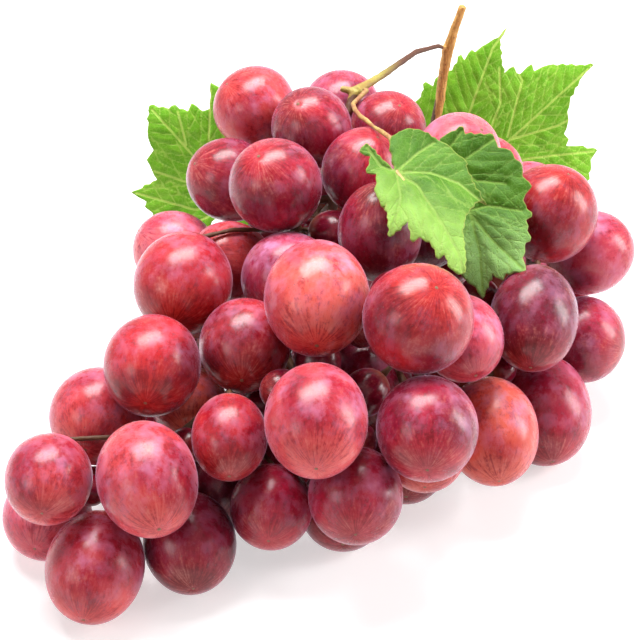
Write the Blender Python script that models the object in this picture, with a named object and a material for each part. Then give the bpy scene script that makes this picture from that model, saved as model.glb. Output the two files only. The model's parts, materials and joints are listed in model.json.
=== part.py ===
"""A bunch of large red table grapes lying on its side, with its stalk, a piece of cane and four leaves."""

import math

import bpy
import bmesh
import numpy as np
from mathutils import Vector
from mathutils.geometry import delaunay_2d_cdt

for item in list(bpy.data.objects):
    bpy.data.objects.remove(item, do_unlink=True)

# All lengths below are in millimetres; the finished meshes are in metres.
METRES = 0.001

# Places given as across and down were read along one line of sight, which comes down onto the
# bunch from the front at this angle.
SIGHT_FALL = math.radians(35.0)
SIGHT_DISTANCE = 500.0
SIGHT_HEIGHT = 35.0
SIGHT_SCALE = 1858.0
SIGHT_MIDDLE = 320.0

# Clear space between neighbouring pieces.
GAP = 0.3
# How far a resting berry is flattened by the table.
FLAT = 0.6
SEGMENTS = 12
BANDS = 8
DIMPLE = 0.5
# Turning a resting berry changes its height a little, so its place is worked out this many times.
RESTING_PASSES = 3
# A hidden berry points away from a line through the core of the bunch.
CORE_NARROWING = np.array([0.5, 0.6, 0.0])
CORE_MIDDLE = np.array([2.0, 0.0, 36.0])

LEAF_THICKNESS = 0.5
LEAF_CELL = 4.0
LEAF_CLEARANCE = 0.9

# Moves the settled bunch so that its box stands on the origin.
ORIGIN_SHIFT = (-4.5, -14.65, 0.0)

forward = np.array([0.0, math.cos(SIGHT_FALL), -math.sin(SIGHT_FALL)])
right = np.array([1.0, 0.0, 0.0])
upward = np.array([0.0, math.sin(SIGHT_FALL), math.cos(SIGHT_FALL)])
STRAIGHT_UP = np.array([0.0, 0.0, 1.0])
eye = np.array([0.0, 0.0, SIGHT_HEIGHT]) - forward * SIGHT_DISTANCE


def unit(vector):
    return vector / np.linalg.norm(vector)


def sight(across, down):
    """Direction from the eye through a place in the picture, one unit deep."""
    side = (across - SIGHT_MIDDLE) / SIGHT_SCALE
    drop = (down - SIGHT_MIDDLE) / SIGHT_SCALE
    return forward + right * side - upward * drop


def seen_at_height(across, down, height):
    ray = sight(across, down)
    return eye + ray * ((height - eye[2]) / ray[2])


def seen_at_back(across, down, back):
    ray = sight(across, down)
    return eye + ray * ((back - eye[1]) / ray[1])


grapes = []


def reach(radius, half, along, direction):
    """How far a berry extends from its centre in a direction."""
    cosine = along.dot(direction)
    return math.sqrt(radius ** 2 * (1 - cosine ** 2) + half ** 2 * cosine ** 2)


def add_grape(name, centre, ray, along, size, skin, rests):
    grapes.append({"name": name, "centre": centre, "ray": ray, "along": along,
                   "radius": size[0] / 2, "half": size[1] / 2, "skin": skin, "rests": rests})


def grape(name, seen, size, facing, lean, skin, height=None):
    """A berry in view, with its width and length as its size. Its blossom end turns `facing` degrees
    away from the eye and leans sideways. A berry with no height given rests on the table."""
    turn = math.radians(facing)
    swing = math.radians(lean)
    rests = height is None
    if rests:
        height = size[0] / 2
    for attempt in range(RESTING_PASSES):
        centre = seen_at_height(seen[0], seen[1], height)
        back = unit(eye - centre)
        side = unit(right - back * right.dot(back))
        fall = np.cross(side, back)
        sideways = fall * math.cos(swing) + side * math.sin(swing)
        along = unit(back * math.cos(turn) + sideways * math.sin(turn))
        if rests:
            height = reach(size[0] / 2, size[1] / 2, along, STRAIGHT_UP) - FLAT
    add_grape(name, centre, unit(sight(*seen)), along, size, skin, rests)


def hidden_grape(name, at, size, skin, rests=False):
    """A berry at the back or underneath. Its blossom end points away from the bunch's core."""
    centre = np.array(at, dtype=float)
    core = centre * CORE_NARROWING + CORE_MIDDLE
    add_grape(name, centre, None, unit(centre - core), size, skin, rests)


# Front left, down to the tip of the bunch.
grape("berry_tip_left", seen=(48.5, 479), size=(21, 23.5), facing=45, lean=-10, height=33, skin="coral")
grape("berry_tip_low", seen=(50, 522), size=(22.5, 23), facing=50, lean=-20, skin="coral")
grape("berry_tip_front", seen=(92.5, 561), size=(24, 28.5), facing=65, lean=-12, skin="crimson")
grape("berry_front_left", seen=(147, 479), size=(24, 30), facing=55, lean=14, height=36, skin="coral")
grape("berry_low_left", seen=(192, 542), size=(23, 26.5), facing=58, lean=5, skin="wine")
# Low middle.
grape("berry_small_dark", seen=(229.5, 437), size=(18.5, 22.5), facing=58, lean=0, height=38, skin="wine")
grape("berry_front_coral", seen=(316.5, 421), size=(24.5, 29.5), facing=50, lean=0, height=47, skin="coral")
grape("berry_low_middle", seen=(270, 508), size=(20.5, 22), facing=50, lean=-5, height=15, skin="crimson")
grape("berry_low_front", seen=(355, 495), size=(23, 24.5), facing=50, lean=0, height=28, skin="crimson")
grape("berry_low_behind", seen=(342, 508), size=(22, 23), facing=55, lean=0, skin="wine")
# Low right.
grape("berry_right_front", seen=(427, 428), size=(24.5, 26.5), facing=48, lean=0, height=42, skin="crimson")
grape("berry_right_peach", seen=(425, 450), size=(21, 21.5), facing=60, lean=0, height=26, skin="amber")
grape("berry_right_shade", seen=(406, 462), size=(22, 22.5), facing=55, lean=0, skin="wine")
grape("berry_right_amber", seen=(492, 431), size=(24, 29.5), facing=62, lean=8, height=20, skin="amber")
grape("berry_right_low", seen=(543, 408), size=(26, 31.5), facing=65, lean=10, skin="crimson")
grape("berry_right_outer", seen=(582, 341), size=(24, 23), facing=80, lean=75, height=26, skin="pink")
# Middle.
grape("berry_right_middle", seen=(534, 318), size=(23, 29.5), facing=62, lean=-4, height=42, skin="wine")
grape("berry_centre_rose", seen=(462, 338), size=(21, 23.5), facing=60, lean=20, height=46, skin="pink")
grape("berry_centre_red", seen=(417, 319), size=(27, 26.5), facing=40, lean=150, height=62, skin="scarlet")
grape("berry_centre_coral", seen=(317.5, 299), size=(26, 30.5), facing=50, lean=0, height=64, skin="coral")
grape("berry_centre_lilac", seen=(288, 278), size=(25, 24), facing=50, lean=-10, height=48, skin="lilac")
# Left.
grape("berry_left_upper", seen=(184, 284), size=(25.5, 28), facing=50, lean=-15, height=56, skin="coral")
grape("berry_left_brick", seen=(245, 344), size=(23, 25), facing=45, lean=-5, height=46, skin="brick")
grape("berry_left_front", seen=(152, 365.5), size=(24, 26.5), facing=45, lean=-10, height=48, skin="scarlet")
grape("berry_left_low", seen=(98, 416), size=(24.5, 25.5), facing=45, lean=-20, height=30, skin="coral")
grape("berry_left_inner", seen=(190, 405), size=(19.5, 20), facing=45, lean=0, height=26, skin="amber")
grape("berry_left_outer", seen=(176, 252), size=(22.5, 24), facing=75, lean=-120, height=44, skin="pink")
grape("berry_left_back", seen=(230, 262), size=(22, 24), facing=40, lean=-110, height=44, skin="crimson")
# Top.
grape("berry_top_left", seen=(254, 107), size=(24, 22.5), facing=65, lean=-130, height=66, skin="scarlet")
grape("berry_top_front", seen=(312, 128), size=(22, 23.5), facing=40, lean=-150, height=70, skin="crimson")
grape("berry_top_lilac", seen=(342, 107), size=(22.5, 21.5), facing=85, lean=180, height=62, skin="lilac")
grape("berry_top_side", seen=(230, 180), size=(23, 25), facing=60, lean=-115, height=56, skin="wine")
grape("berry_top_crimson", seen=(275.5, 185.5), size=(24.5, 25), facing=45, lean=-150, height=70, skin="crimson")
grape("berry_top_dark", seen=(366, 172), size=(23.5, 24), facing=54, lean=160, height=62, skin="wine")
grape("berry_under_leaf", seen=(380, 232), size=(22, 27.5), facing=60, lean=180, height=60, skin="wine")
grape("berry_leaf_shade", seen=(425, 225), size=(23, 23.5), facing=50, lean=160, height=50, skin="wine")
grape("berry_top_shade", seen=(388, 128), size=(21.5, 20.5), facing=44, lean=153, height=62, skin="wine")
# Top right.
grape("berry_rose_top", seen=(458, 157), size=(23.5, 25), facing=51, lean=138, height=58, skin="rose")
grape("berry_rose_back", seen=(485, 175), size=(22.5, 23), facing=85, lean=142, height=46, skin="rose")
grape("berry_right_upper", seen=(550, 214), size=(26, 27.5), facing=60, lean=155, height=50, skin="scarlet")
grape("berry_rose_far", seen=(527, 200), size=(23, 24), facing=130, lean=143, height=38, skin="rose")
grape("berry_right_far", seen=(589, 253), size=(23.5, 25.5), facing=85, lean=115, height=36, skin="pink")
# Underneath and at the back.
hidden_grape("berry_under_left", at=(-52, -8, 12), size=(23, 25), skin="crimson", rests=True)
hidden_grape("berry_under_side", at=(-42, 21, 12), size=(23.5, 25.5), skin="crimson", rests=True)
hidden_grape("berry_back_left", at=(-22, 46, 12), size=(25.5, 26.5), skin="wine", rests=True)
hidden_grape("berry_back_middle", at=(6, 62, 12), size=(25.5, 27), skin="crimson", rests=True)
hidden_grape("berry_back_right", at=(34, 66, 12), size=(25.5, 26.5), skin="scarlet", rests=True)
hidden_grape("berry_back_corner", at=(62, 50, 12), size=(23, 25), skin="wine", rests=True)
hidden_grape("berry_back_outer", at=(68, 38, 12), size=(23, 24.5), skin="crimson", rests=True)
hidden_grape("berry_upper_back", at=(-2, 65, 36), size=(25, 26), skin="scarlet")
hidden_grape("berry_upper_corner", at=(30, 74, 36), size=(24.5, 26), skin="crimson")
hidden_grape("berry_under_tip", at=(-29, -38, 12), size=(22, 23), skin="wine", rests=True)
hidden_grape("berry_under_front", at=(-6, -27, 12), size=(22, 23), skin="wine", rests=True)
hidden_grape("berry_under_middle", at=(-14, -3, 12), size=(23, 24), skin="wine", rests=True)
hidden_grape("berry_core", at=(11.5, -21.5, 30), size=(25, 26), skin="wine")

count = len(grapes)
centres = np.array([g["centre"] for g in grapes])
radii = np.array([g["radius"] for g in grapes])
halves = np.array([g["half"] for g in grapes])
alongs = np.array([g["along"] for g in grapes])


SETTLE_ROUNDS = 900
# In the last rounds the berries only move apart.
FREE_ROUNDS = 250
# Shares of a shortfall, of the way to a line of sight and of the way home taken in each round.
PUSH_APART = 0.45
PULL_TO_SIGHT = 0.5
PULL_HOME = 0.01
PULL_HIDDEN_HOME = 0.02
SPARE_GAP = 0.02
LIFT = 0.5


def settle():
    """Separate the berries until each pair is clear, keeping every berry in view on its line of sight."""
    homes = centres.copy()
    reach_up = np.sqrt(radii ** 2 * (1 - alongs[:, 2] ** 2) + halves ** 2 * alongs[:, 2] ** 2)
    in_view = np.array([[g["ray"] is not None] for g in grapes])
    rays = np.array([g["ray"] if g["ray"] is not None else (0.0, 0.0, 0.0) for g in grapes])
    resting = np.array([g["rests"] for g in grapes])
    for step in range(SETTLE_ROUNDS):
        apart = centres[None, :, :] - centres[:, None, :]
        length = np.linalg.norm(apart, axis=2) + np.eye(count)
        normal = apart / length[:, :, None]
        cosine = np.einsum("ijk,ik->ij", normal, alongs)
        extent = np.sqrt(radii[:, None] ** 2 * (1 - cosine ** 2) + halves[:, None] ** 2 * cosine ** 2)
        shortfall = np.clip(extent + extent.T + GAP + SPARE_GAP - length, 0, None)
        np.fill_diagonal(shortfall, 0)
        centres[:] -= PUSH_APART * np.einsum("ij,ijk->ik", shortfall, normal)
        if step < SETTLE_ROUNDS - FREE_ROUNDS:
            offset = centres - eye
            on_ray = eye + rays * np.einsum("ij,ij->i", offset, rays)[:, None]
            to_sight = PULL_TO_SIGHT * (on_ray - centres)
            centres[:] += np.where(in_view, to_sight, PULL_HIDDEN_HOME * (homes - centres))
            centres[:] += np.where(in_view, PULL_HOME * (homes - centres), 0)
        centres[:, 2] = np.where(resting, reach_up - FLAT, np.maximum(centres[:, 2], reach_up + LIFT))


settle()

SKINS = {
    "coral": ((0.62, 0.13, 0.11, 1.0), 0.34),
    "scarlet": ((0.46, 0.04, 0.04, 1.0), 0.30),
    "brick": ((0.45, 0.07, 0.05, 1.0), 0.34),
    "amber": ((0.60, 0.20, 0.09, 1.0), 0.34),
    "crimson": ((0.38, 0.03, 0.07, 1.0), 0.32),
    "rose": ((0.62, 0.14, 0.22, 1.0), 0.32),
    "pink": ((0.52, 0.12, 0.17, 1.0), 0.34),
    "lilac": ((0.42, 0.14, 0.20, 1.0), 0.40),
    "wine": ((0.17, 0.01, 0.03, 1.0), 0.26),
}
STALK_LOOK = ((0.42, 0.34, 0.10, 1.0), 0.60)
LIGHT_LEAF_LOOK = ((0.28, 0.52, 0.12, 1.0), 0.48)
DARK_LEAF_LOOK = ((0.16, 0.36, 0.07, 1.0), 0.50)
BACK_LEAF_LOOK = ((0.22, 0.46, 0.05, 1.0), 0.50)


def look(name, setting):
    colour, roughness = setting
    material = bpy.data.materials.new(name)
    material.use_nodes = True
    shader = material.node_tree.nodes["Principled BSDF"]
    shader.inputs["Base Color"].default_value = colour
    shader.inputs["Roughness"].default_value = roughness
    shader.inputs["Metallic"].default_value = 0.0
    return material


skin_looks = {skin: look("skin_" + skin, setting) for skin, setting in SKINS.items()}


def place(name, points, faces, material):
    """Make a named object from points in millimetres."""
    mesh = bpy.data.meshes.new(name)
    shifted = (np.array(points) + np.array(ORIGIN_SHIFT)) * METRES
    mesh.from_pydata([tuple(p) for p in shifted], [], faces)
    piece = bpy.data.objects.new(name, mesh)
    bpy.context.scene.collection.objects.link(piece)
    mesh.materials.append(material)
    return piece


def square_to(direction):
    helper = np.array([0.0, 0.0, 1.0]) if abs(direction[2]) < 0.8 else np.array([1.0, 0.0, 0.0])
    first = unit(np.cross(direction, helper))
    return first, np.cross(direction, first)


def berry(index):
    """A spheroid with a shallow dimple at its stem end, cut flat where it rests."""
    record = grapes[index]
    along = alongs[index]
    first, second = square_to(along)
    points = [centres[index] - along * (halves[index] - DIMPLE)]
    for band in range(1, BANDS):
        angle = math.pi * band / BANDS
        middle = centres[index] - along * halves[index] * math.cos(angle)
        for segment in range(SEGMENTS):
            turn = 2 * math.pi * segment / SEGMENTS
            outward = first * math.cos(turn) + second * math.sin(turn)
            points.append(middle + outward * radii[index] * math.sin(angle))
    points.append(centres[index] + along * halves[index])
    last = len(points) - 1
    faces = []
    for segment in range(SEGMENTS):
        after = (segment + 1) % SEGMENTS
        faces.append((0, 1 + after, 1 + segment))
        for band in range(BANDS - 2):
            low = 1 + band * SEGMENTS
            high = low + SEGMENTS
            faces.append((low + segment, low + after, high + after, high + segment))
        low = 1 + (BANDS - 2) * SEGMENTS
        faces.append((low + segment, low + after, last))
    piece = place(record["name"], points, faces, skin_looks[record["skin"]])
    shape = bmesh.new()
    shape.from_mesh(piece.data)
    if record["rests"]:
        everything = shape.verts[:] + shape.edges[:] + shape.faces[:]
        bmesh.ops.bisect_plane(shape, geom=everything, plane_co=(0, 0, ORIGIN_SHIFT[2] * METRES),
                               plane_no=(0, 0, 1), clear_inner=True)
        rim = [edge for edge in shape.edges if len(edge.link_faces) == 1]
        bmesh.ops.edgeloop_fill(shape, edges=rim)
    bmesh.ops.triangulate(shape, faces=shape.faces[:])
    bmesh.ops.recalc_face_normals(shape, faces=shape.faces[:])
    shape.to_mesh(piece.data)
    shape.free()
    return piece


for number in range(count):
    berry(number)

# The cane stands behind the bunch. Its points are given as seen, at one distance back.
CANE_BACK = 97.0
CANE_SEEN = ((463, 6), (455, 28), (448, 49), (443, 75), (440, 100), (436, 118), (431, 150), (427, 190))
CANE_RADIUS = (1.15, 1.3, 1.75, 1.5, 1.5, 1.55, 1.75, 1.6)
cane_points = np.array([seen_at_back(across, down, CANE_BACK) for across, down in CANE_SEEN])
CANE_ROOT = 2
CANE_LEAF_NODE = 6

# The stalk leaves the cane thin, arches forward over the top berries to a thick knuckle, which
# lies in front of them, and enters the bunch there.
ARCH_SEEN = ((438, 46), (427, 49), (416, 52), (407, 58), (397, 65), (387, 72), (375, 80), (364, 86))
ARCH_BACK = (94.0, 66.5)
ARCH_RADIUS = (0.6, 1.3)
KNUCKLE_SEEN = (356, 92)
KNUCKLE_BACK = 63.0
KNUCKLE_RADIUS = 1.9
knuckle = seen_at_back(KNUCKLE_SEEN[0], KNUCKLE_SEEN[1], KNUCKLE_BACK)
arch_backs = np.linspace(*ARCH_BACK, len(ARCH_SEEN))
arch = [seen_at_back(across, down, back) for (across, down), back in zip(ARCH_SEEN, arch_backs)]
# Below the knuckle the main stem drops through the gap between three top berries.
NECK_SEEN = (350, 106)
NECK_BACK = 62.0
neck = seen_at_back(NECK_SEEN[0], NECK_SEEN[1], NECK_BACK)

# The main stem runs down through the core, and side stems reach into the shoulders.
SIDE_STEMS = {
    "main": (knuckle, neck, (6, 57, 55), (7, 52, 46), (6, 48, 38), (4, 28, 36), (2, 8, 36), (-6, -10, 36),
             (-12, -24, 32), (-24, -38, 28), (-38, -48, 30), (-50, -56, 26)),
    "left top": ((6, 48, 38), (-4, 44, 46), (-12, 34, 50)),
    "left": ((4, 28, 36), (-12, 26, 30), (-24, 22, 26)),
    "left low": ((-6, -10, 36), (-20, -8, 32), (-34, -6, 30)),
    "right back": ((6, 48, 38), (22, 50, 30), (38, 44, 32), (52, 40, 30)),
    "right": ((4, 28, 36), (18, 16, 34), (30, 10, 22), (46, 10, 22), (58, 12, 28)),
    "right front": ((2, 8, 36), (10, -10, 40), (16, -26, 40), (22, -34, 36)),
    "stub": (knuckle, knuckle + np.array([-4.4, 0.6, 0.8])),
    "middle front": ((-6, -10, 36), (-6, -26, 40), (-2, -38, 36)),
}
MAIN_RADIUS = (1.6, 1.1, 1.3, 1.5, 1.6, 1.5, 1.4, 1.3, 1.2, 1.1, 0.9)
SIDE_RADIUS = 1.15
PEDICEL_RADIUS = 0.75
COLLAR_RADIUS = 1.5
COLLAR_LENGTH = 1.8
LEAST_RADIUS = 0.35
MAIN_CLEARANCE = 1.5
MAIN_SIDES = 8
SIDE_SIDES = 5
PEDICEL_SIDES = 4
ARCH_SIDES = 7
CANE_SIDES = 9
# How much thicker a stem is at its root than further out, as shares of its radius.
ROOT_FLARE = 1.15
END_TAPER = 0.8
# Distances between the points of stems and of the berries' own stems.
STEM_STEP = 5.0
PEDICEL_STEP = 5.5
# How far behind a collar a berry's stem starts to turn.
PEDICEL_STRAIGHT = 3.0

# A path is smoothed for some rounds, and in its last rounds only moved off the berries.
PATH_ROUNDS = 300
PATH_LAST_ROUNDS = 40
PATH_SMOOTHING = 0.5
PATH_PUSH = 0.6
PATH_SPARE_GAP = 0.15
# A side shoot leaves a stem straight for this far, and starts this much clear of it.
SHOOT_STRAIGHT = 1.2
SHOOT_SPARE_GAP = 0.05


def clearances(points, skip=None):
    """Distance from each point to the nearest berry, measured towards that berry's centre."""
    offset = points[:, None, :] - centres[None, :, :]
    along_part = np.einsum("pbk,bk->pb", offset, alongs)
    distance = np.linalg.norm(offset, axis=2)
    across_part = np.sqrt(np.clip(distance ** 2 - along_part ** 2, 0, None))
    level = np.sqrt((across_part / radii) ** 2 + (along_part / halves) ** 2) + 1e-9
    free = distance * (1 - 1 / level)
    if skip is not None:
        free[:, skip] = math.inf
    return free, offset / distance[:, :, None]


def relax(points, radius, fixed_start, fixed_end):
    """Smooth a path while holding it clear of every berry."""
    points = points.copy()
    inner = slice(fixed_start, len(points) - fixed_end)
    for step in range(PATH_ROUNDS):
        if step < PATH_ROUNDS - PATH_LAST_ROUNDS:
            middle = (points[:-2] + points[2:]) / 2
            smooth = points.copy()
            smooth[1:-1] = (points[1:-1] + middle) / 2
            points[inner] += PATH_SMOOTHING * (smooth - points)[inner]
        free, outward = clearances(points)
        lack = np.clip(radius + GAP + PATH_SPARE_GAP - free, 0, None)
        push = np.einsum("pb,pbk->pk", lack, outward)
        points[inner] += PATH_PUSH * push[inner]
    return points


def divide(points, spacing):
    """Put extra points on a path so that none are further apart than the spacing."""
    result = [np.array(points[0], dtype=float)]
    for start, end in zip(points[:-1], points[1:]):
        start = np.array(start, dtype=float)
        end = np.array(end, dtype=float)
        steps = max(1, int(round(np.linalg.norm(end - start) / spacing)))
        for step in range(1, steps + 1):
            result.append(start + (end - start) * step / steps)
    return np.array(result)


def tube(points, thickness, sides):
    """Points and faces of a closed round tube along a path."""
    first, second = square_to(unit(points[1] - points[0]))
    rings = []
    for index, point in enumerate(points):
        before = points[max(index - 1, 0)]
        after = points[min(index + 1, len(points) - 1)]
        direction = unit(after - before)
        first = unit(first - direction * first.dot(direction))
        second = np.cross(direction, first)
        for side in range(sides):
            turn = 2 * math.pi * side / sides
            rings.append(point + (first * math.cos(turn) + second * math.sin(turn)) * thickness[index])
    faces = [tuple(reversed(range(sides)))]
    for index in range(len(points) - 1):
        base = index * sides
        for side in range(sides):
            after = (side + 1) % sides
            faces.append((base + side, base + after, base + sides + after, base + sides + side))
    faces.append(tuple((len(points) - 1) * sides + side for side in range(sides)))
    return rings, faces


def fitted(points, wanted, skip=None):
    """Thin a path where a berry stands close beside it."""
    free, outward = clearances(points, skip)
    return np.clip(np.minimum(wanted, free.min(axis=1) - GAP), LEAST_RADIUS, None)


def off_surface(axis_point, axis_direction, toward, stem_radius):
    """Two points that start a side shoot square to a stem and just clear of it."""
    outward = toward - axis_point
    outward = unit(outward - axis_direction * outward.dot(axis_direction))
    start = axis_point + outward * (stem_radius + GAP + SHOOT_SPARE_GAP)
    return start, start + outward * SHOOT_STRAIGHT


stem_paths = {}
for title, corners in SIDE_STEMS.items():
    rough = divide(corners, STEM_STEP)
    if title == "main":
        widths = np.interp(np.linspace(0, 1, len(rough)), np.linspace(0, 1, len(MAIN_RADIUS)), MAIN_RADIUS)
        path = relax(rough, MAIN_CLEARANCE, 1, 0)
    else:
        main = stem_paths["main"][0]
        nearest = np.argmin(np.linalg.norm(main - rough[0], axis=1))
        rough[0] = main[nearest]
        widths = np.linspace(SIDE_RADIUS * ROOT_FLARE, SIDE_RADIUS * END_TAPER, len(rough))
        path = relax(rough, SIDE_RADIUS, 1, 0) if len(rough) > 3 else rough
    stem_paths[title] = (path, fitted(path, widths))

arch_path = np.array([cane_points[CANE_ROOT]] + arch + [knuckle])
arch_widths = np.linspace(*ARCH_RADIUS, len(arch_path))
arch_widths[-1] = KNUCKLE_RADIUS

twig_points = np.concatenate([path[2:] for title, (path, widths) in stem_paths.items() if title != "stub"])


def collar_far(index):
    along = alongs[index]
    return centres[index] - along * (halves[index] + GAP + COLLAR_LENGTH + PEDICEL_STRAIGHT)


def pedicel(index):
    """The short stem that holds one berry, with a collar at the berry."""
    along = alongs[index]
    pole = centres[index] - along * (halves[index] + GAP)
    approach = pole - along * COLLAR_LENGTH
    far = collar_far(index)
    span = np.linalg.norm(twig_points - far, axis=1) + np.clip((twig_points - far) @ along, 0, None)
    root = twig_points[np.argmin(span)]
    rough = divide([root, far], PEDICEL_STEP)
    if len(rough) > 2:
        rough = relax(np.vstack([rough, approach, pole]), PEDICEL_RADIUS, 1, 2)
    else:
        rough = np.vstack([rough, approach, pole])
    widths = np.full(len(rough), PEDICEL_RADIUS)
    widths[0] = PEDICEL_RADIUS * ROOT_FLARE
    widths[-1] = COLLAR_RADIUS
    fit = fitted(rough, widths, skip=index)
    own, outward = clearances(rough[:-2])
    fit[:-2] = np.clip(np.minimum(fit[:-2], own[:, index] - GAP), LEAST_RADIUS, None)
    return rough, fit


stalk_tubes = []
for title, (path, widths) in stem_paths.items():
    stalk_tubes.append(tube(path, widths, MAIN_SIDES if title == "main" else SIDE_SIDES))
stalk_tubes.append(tube(arch_path, arch_widths, ARCH_SIDES))
stalk_tubes.append(tube(cane_points, CANE_RADIUS, CANE_SIDES))
reach_to_stem = [np.linalg.norm(twig_points - collar_far(number), axis=1).min() for number in range(count)]
for number in np.argsort(reach_to_stem):
    path, widths = pedicel(number)
    twig_points = np.vstack([twig_points, path[2:-2]])
    stalk_tubes.append(tube(path, widths, PEDICEL_SIDES))


def joined(name, tubes, material):
    """Unite overlapping closed shapes into one solid."""
    base = place(name, tubes[0][0], tubes[0][1], material)
    others = bpy.data.collections.new(name + "_parts")
    cutters = []
    for number, (points, faces) in enumerate(tubes[1:]):
        cutter = place(name + "_part_" + str(number), points, faces, material)
        bpy.context.scene.collection.objects.unlink(cutter)
        others.objects.link(cutter)
        cutters.append(cutter)
    union = base.modifiers.new("union", "BOOLEAN")
    union.operation = "UNION"
    union.operand_type = "COLLECTION"
    union.collection = others
    union.solver = "EXACT"
    bpy.context.scene.collection.children.link(others)
    graph = bpy.context.evaluated_depsgraph_get()
    whole = bpy.data.meshes.new_from_object(base.evaluated_get(graph))
    base.modifiers.clear()
    base.data = whole
    whole.name = name
    for cutter in cutters:
        bpy.data.objects.remove(cutter, do_unlink=True)
    bpy.data.collections.remove(others)
    shape = bmesh.new()
    shape.from_mesh(whole)
    bmesh.ops.triangulate(shape, faces=shape.faces[:])
    bmesh.ops.recalc_face_normals(shape, faces=shape.faces[:])
    shape.to_mesh(whole)
    shape.free()
    return base


joined("stalk", stalk_tubes, look("stalk", STALK_LOOK))

# Each leaf is drawn as seen: millimetres across and up from the point where its leafstalk joins.
LIGHT_LEAF = {
    "join": (396, 172), "depth": 478.0, "midrib": (2.0, -2.6),
    "slope": (-0.2, -1.0), "curl": 0.012, "both_sides": False,
    "edge": ((-0.8, 0.5), (-3.5, 3), (-6, 6), (-7.5, 7.5), (-9.5, 5), (-6.5, 4), (-7.5, -0.5), (-5, -1), (-5, -6),
             (-3, -9.5), (-2.3, -8.8), (-1.7, -16.8), (3, -13), (4.4, -18.3), (6, -17), (9, -18.3), (11, -22.6),
             (12.5, -21.5), (14, -25), (16, -26.5), (17.8, -26), (17.7, -22), (17, -16), (17.5, -12), (20, -8.5),
             (21.5, -7.5), (23.5, -8.7), (20.5, -4.5), (18, 1), (18.5, 1.5), (16, 4), (15, 5), (13, 7),
             (11, 8), (7.5, 10), (4.5, 10.8), (3, 11), (0.5, 10), (-1.5, 8.5), (-1.7, 7), (-1.3, 4), (-0.4, 1)),
}
DARK_LEAF = {
    "join": (458, 165), "depth": 500.0, "midrib": (1.3, -2.4),
    "slope": (0.2, -0.3), "curl": 0.0, "both_sides": True,
    "edge": ((-5, 7), (-3, 8.3), (1.4, 10.3), (2, 8.2), (9.5, 8.2), (10.2, 6.3), (10.8, 4.5), (14.2, 3.7),
             (15.5, 1.4), (17, 0.5), (17.3, -3.5), (19.8, -6), (18, -8.2), (17.4, -9.8), (19.8, -14), (18.2, -15),
             (19.2, -20.8), (18, -21.2), (17.4, -25.3), (18.3, -28.7), (13, -29.2), (12.3, -31.2), (9.3, -29.3),
             (6.7, -36), (4.8, -33), (2.7, -31.8), (1, -29.6), (-3, -24), (-6, -18), (-5, -12), (-9, -8),
             (-7, -3), (-2, -1), (-1, 1), (-4, 3)),
}
RIGHT_BACK_LEAF = {
    "join": (455, 180), "depth": 594.0, "midrib": (1.2, 3.2),
    "slope": (0.0, 0.42), "curl": 0.002, "both_sides": True,
    "edge": ((-14.5, 26.5), (-13, 24.8), (-11, 26.5), (-9.4, 31.5), (-7, 30), (-6.4, 32.4), (-1, 35), (2, 40.2),
             (3, 38.3), (5.4, 41.8), (6.4, 40.9), (10, 43.5), (14, 45.7), (16.8, 49), (14.4, 44.8), (14.7, 39.6),
             (15.6, 34), (18.8, 36.5), (19.8, 34.2), (20.8, 33.9), (24.6, 37.2), (25.3, 34.8), (29.8, 36.8),
             (35.5, 36.7), (44.5, 36.8), (42, 34.5), (40, 32), (37, 26.6), (36, 21.8), (36.4, 19.2), (34.9, 14.7),
             (36.5, 13.1), (35.5, 10.9), (38.8, 10.9), (45.6, 9.6), (43.4, 6.4), (43.6, 4.8), (42.3, -0.5),
             (36, 2), (33, -4), (27, -3), (24, -10), (17, -8), (11, -12), (4, -7), (0, 0), (-5, -7), (-13, -9),
             (-15, -4), (-21, -1), (-19, 6), (-23, 12), (-19, 17), (-20, 22)),
}
LEFT_BACK_LEAF = {
    "join": (225, 205), "depth": 575.0, "midrib": (-2.5, 2.5),
    "slope": (0.0, 0.42), "curl": 0.004, "both_sides": True,
    "edge": ((-4.5, 38), (-4.4, 34), (-4.7, 29.8), (-7, 29), (-10.4, 31.6), (-11.5, 29), (-16.5, 30.8),
             (-17.4, 29.8), (-23.5, 30.8), (-23.7, 25.6), (-23.9, 20.9), (-22.1, 17), (-24.3, 14), (-23.1, 11.8),
             (-21, 7.8), (-25.6, 5.3), (-29.2, 4), (-27, 2.5), (-24.3, 1), (-24.9, -0.6), (-22.4, -2.5),
             (-20, -8), (-14, -7), (-12, -12), (-6, -8), (0, 0), (5, -8), (12, -9), (13, -2), (18, 1), (14, 7),
             (19, 13), (14, 16), (15, 23), (9, 23), (7, 30), (3, 28), (1, 34), (-2, 36.6)),
}


# The depth taken where a line of sight meets no berry.
NO_BERRY = 1e9
# Points inside a leaf keep this share of a cell from its edge, and this distance from its join.
EDGE_SHARE = 0.45
JOIN_SPACE = 1.5
ON_EDGE = 0.3
# Rounds of smoothing a leaf, and the shares taken of its smoothed and of its wanted shape.
LEAF_ROUNDS = 80
LEAF_SMOOTHING = 0.5
LEAF_RETURN = 0.08
ROW_SHARE = math.sin(math.radians(60.0))
LEAFSTALK_STEP = 4.0
LEAFSTALK_FLARE = 1.4
LEAFSTALK_SIDES = 6
FRONT_LEAFSTALK_RADIUS = 0.75
BACK_LEAFSTALK_RADIUS = 0.85
# Extra space between the knuckle and the leafstalk that starts beside it.
KNUCKLE_SPACE = 0.6
# The light leaf's stalk as seen, with its depths: it comes forward and ends behind the blade.
LIGHT_STALK_SEEN = ((353, 104, 523.5), (355, 110, 517.0), (360, 116, 511.0), (367, 121, 505.0), (374, 127, 499.0),
                    (382, 132, 494.0), (390, 138, 489.5), (395, 149, 487.0), (396.5, 161, 483.5))


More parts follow.
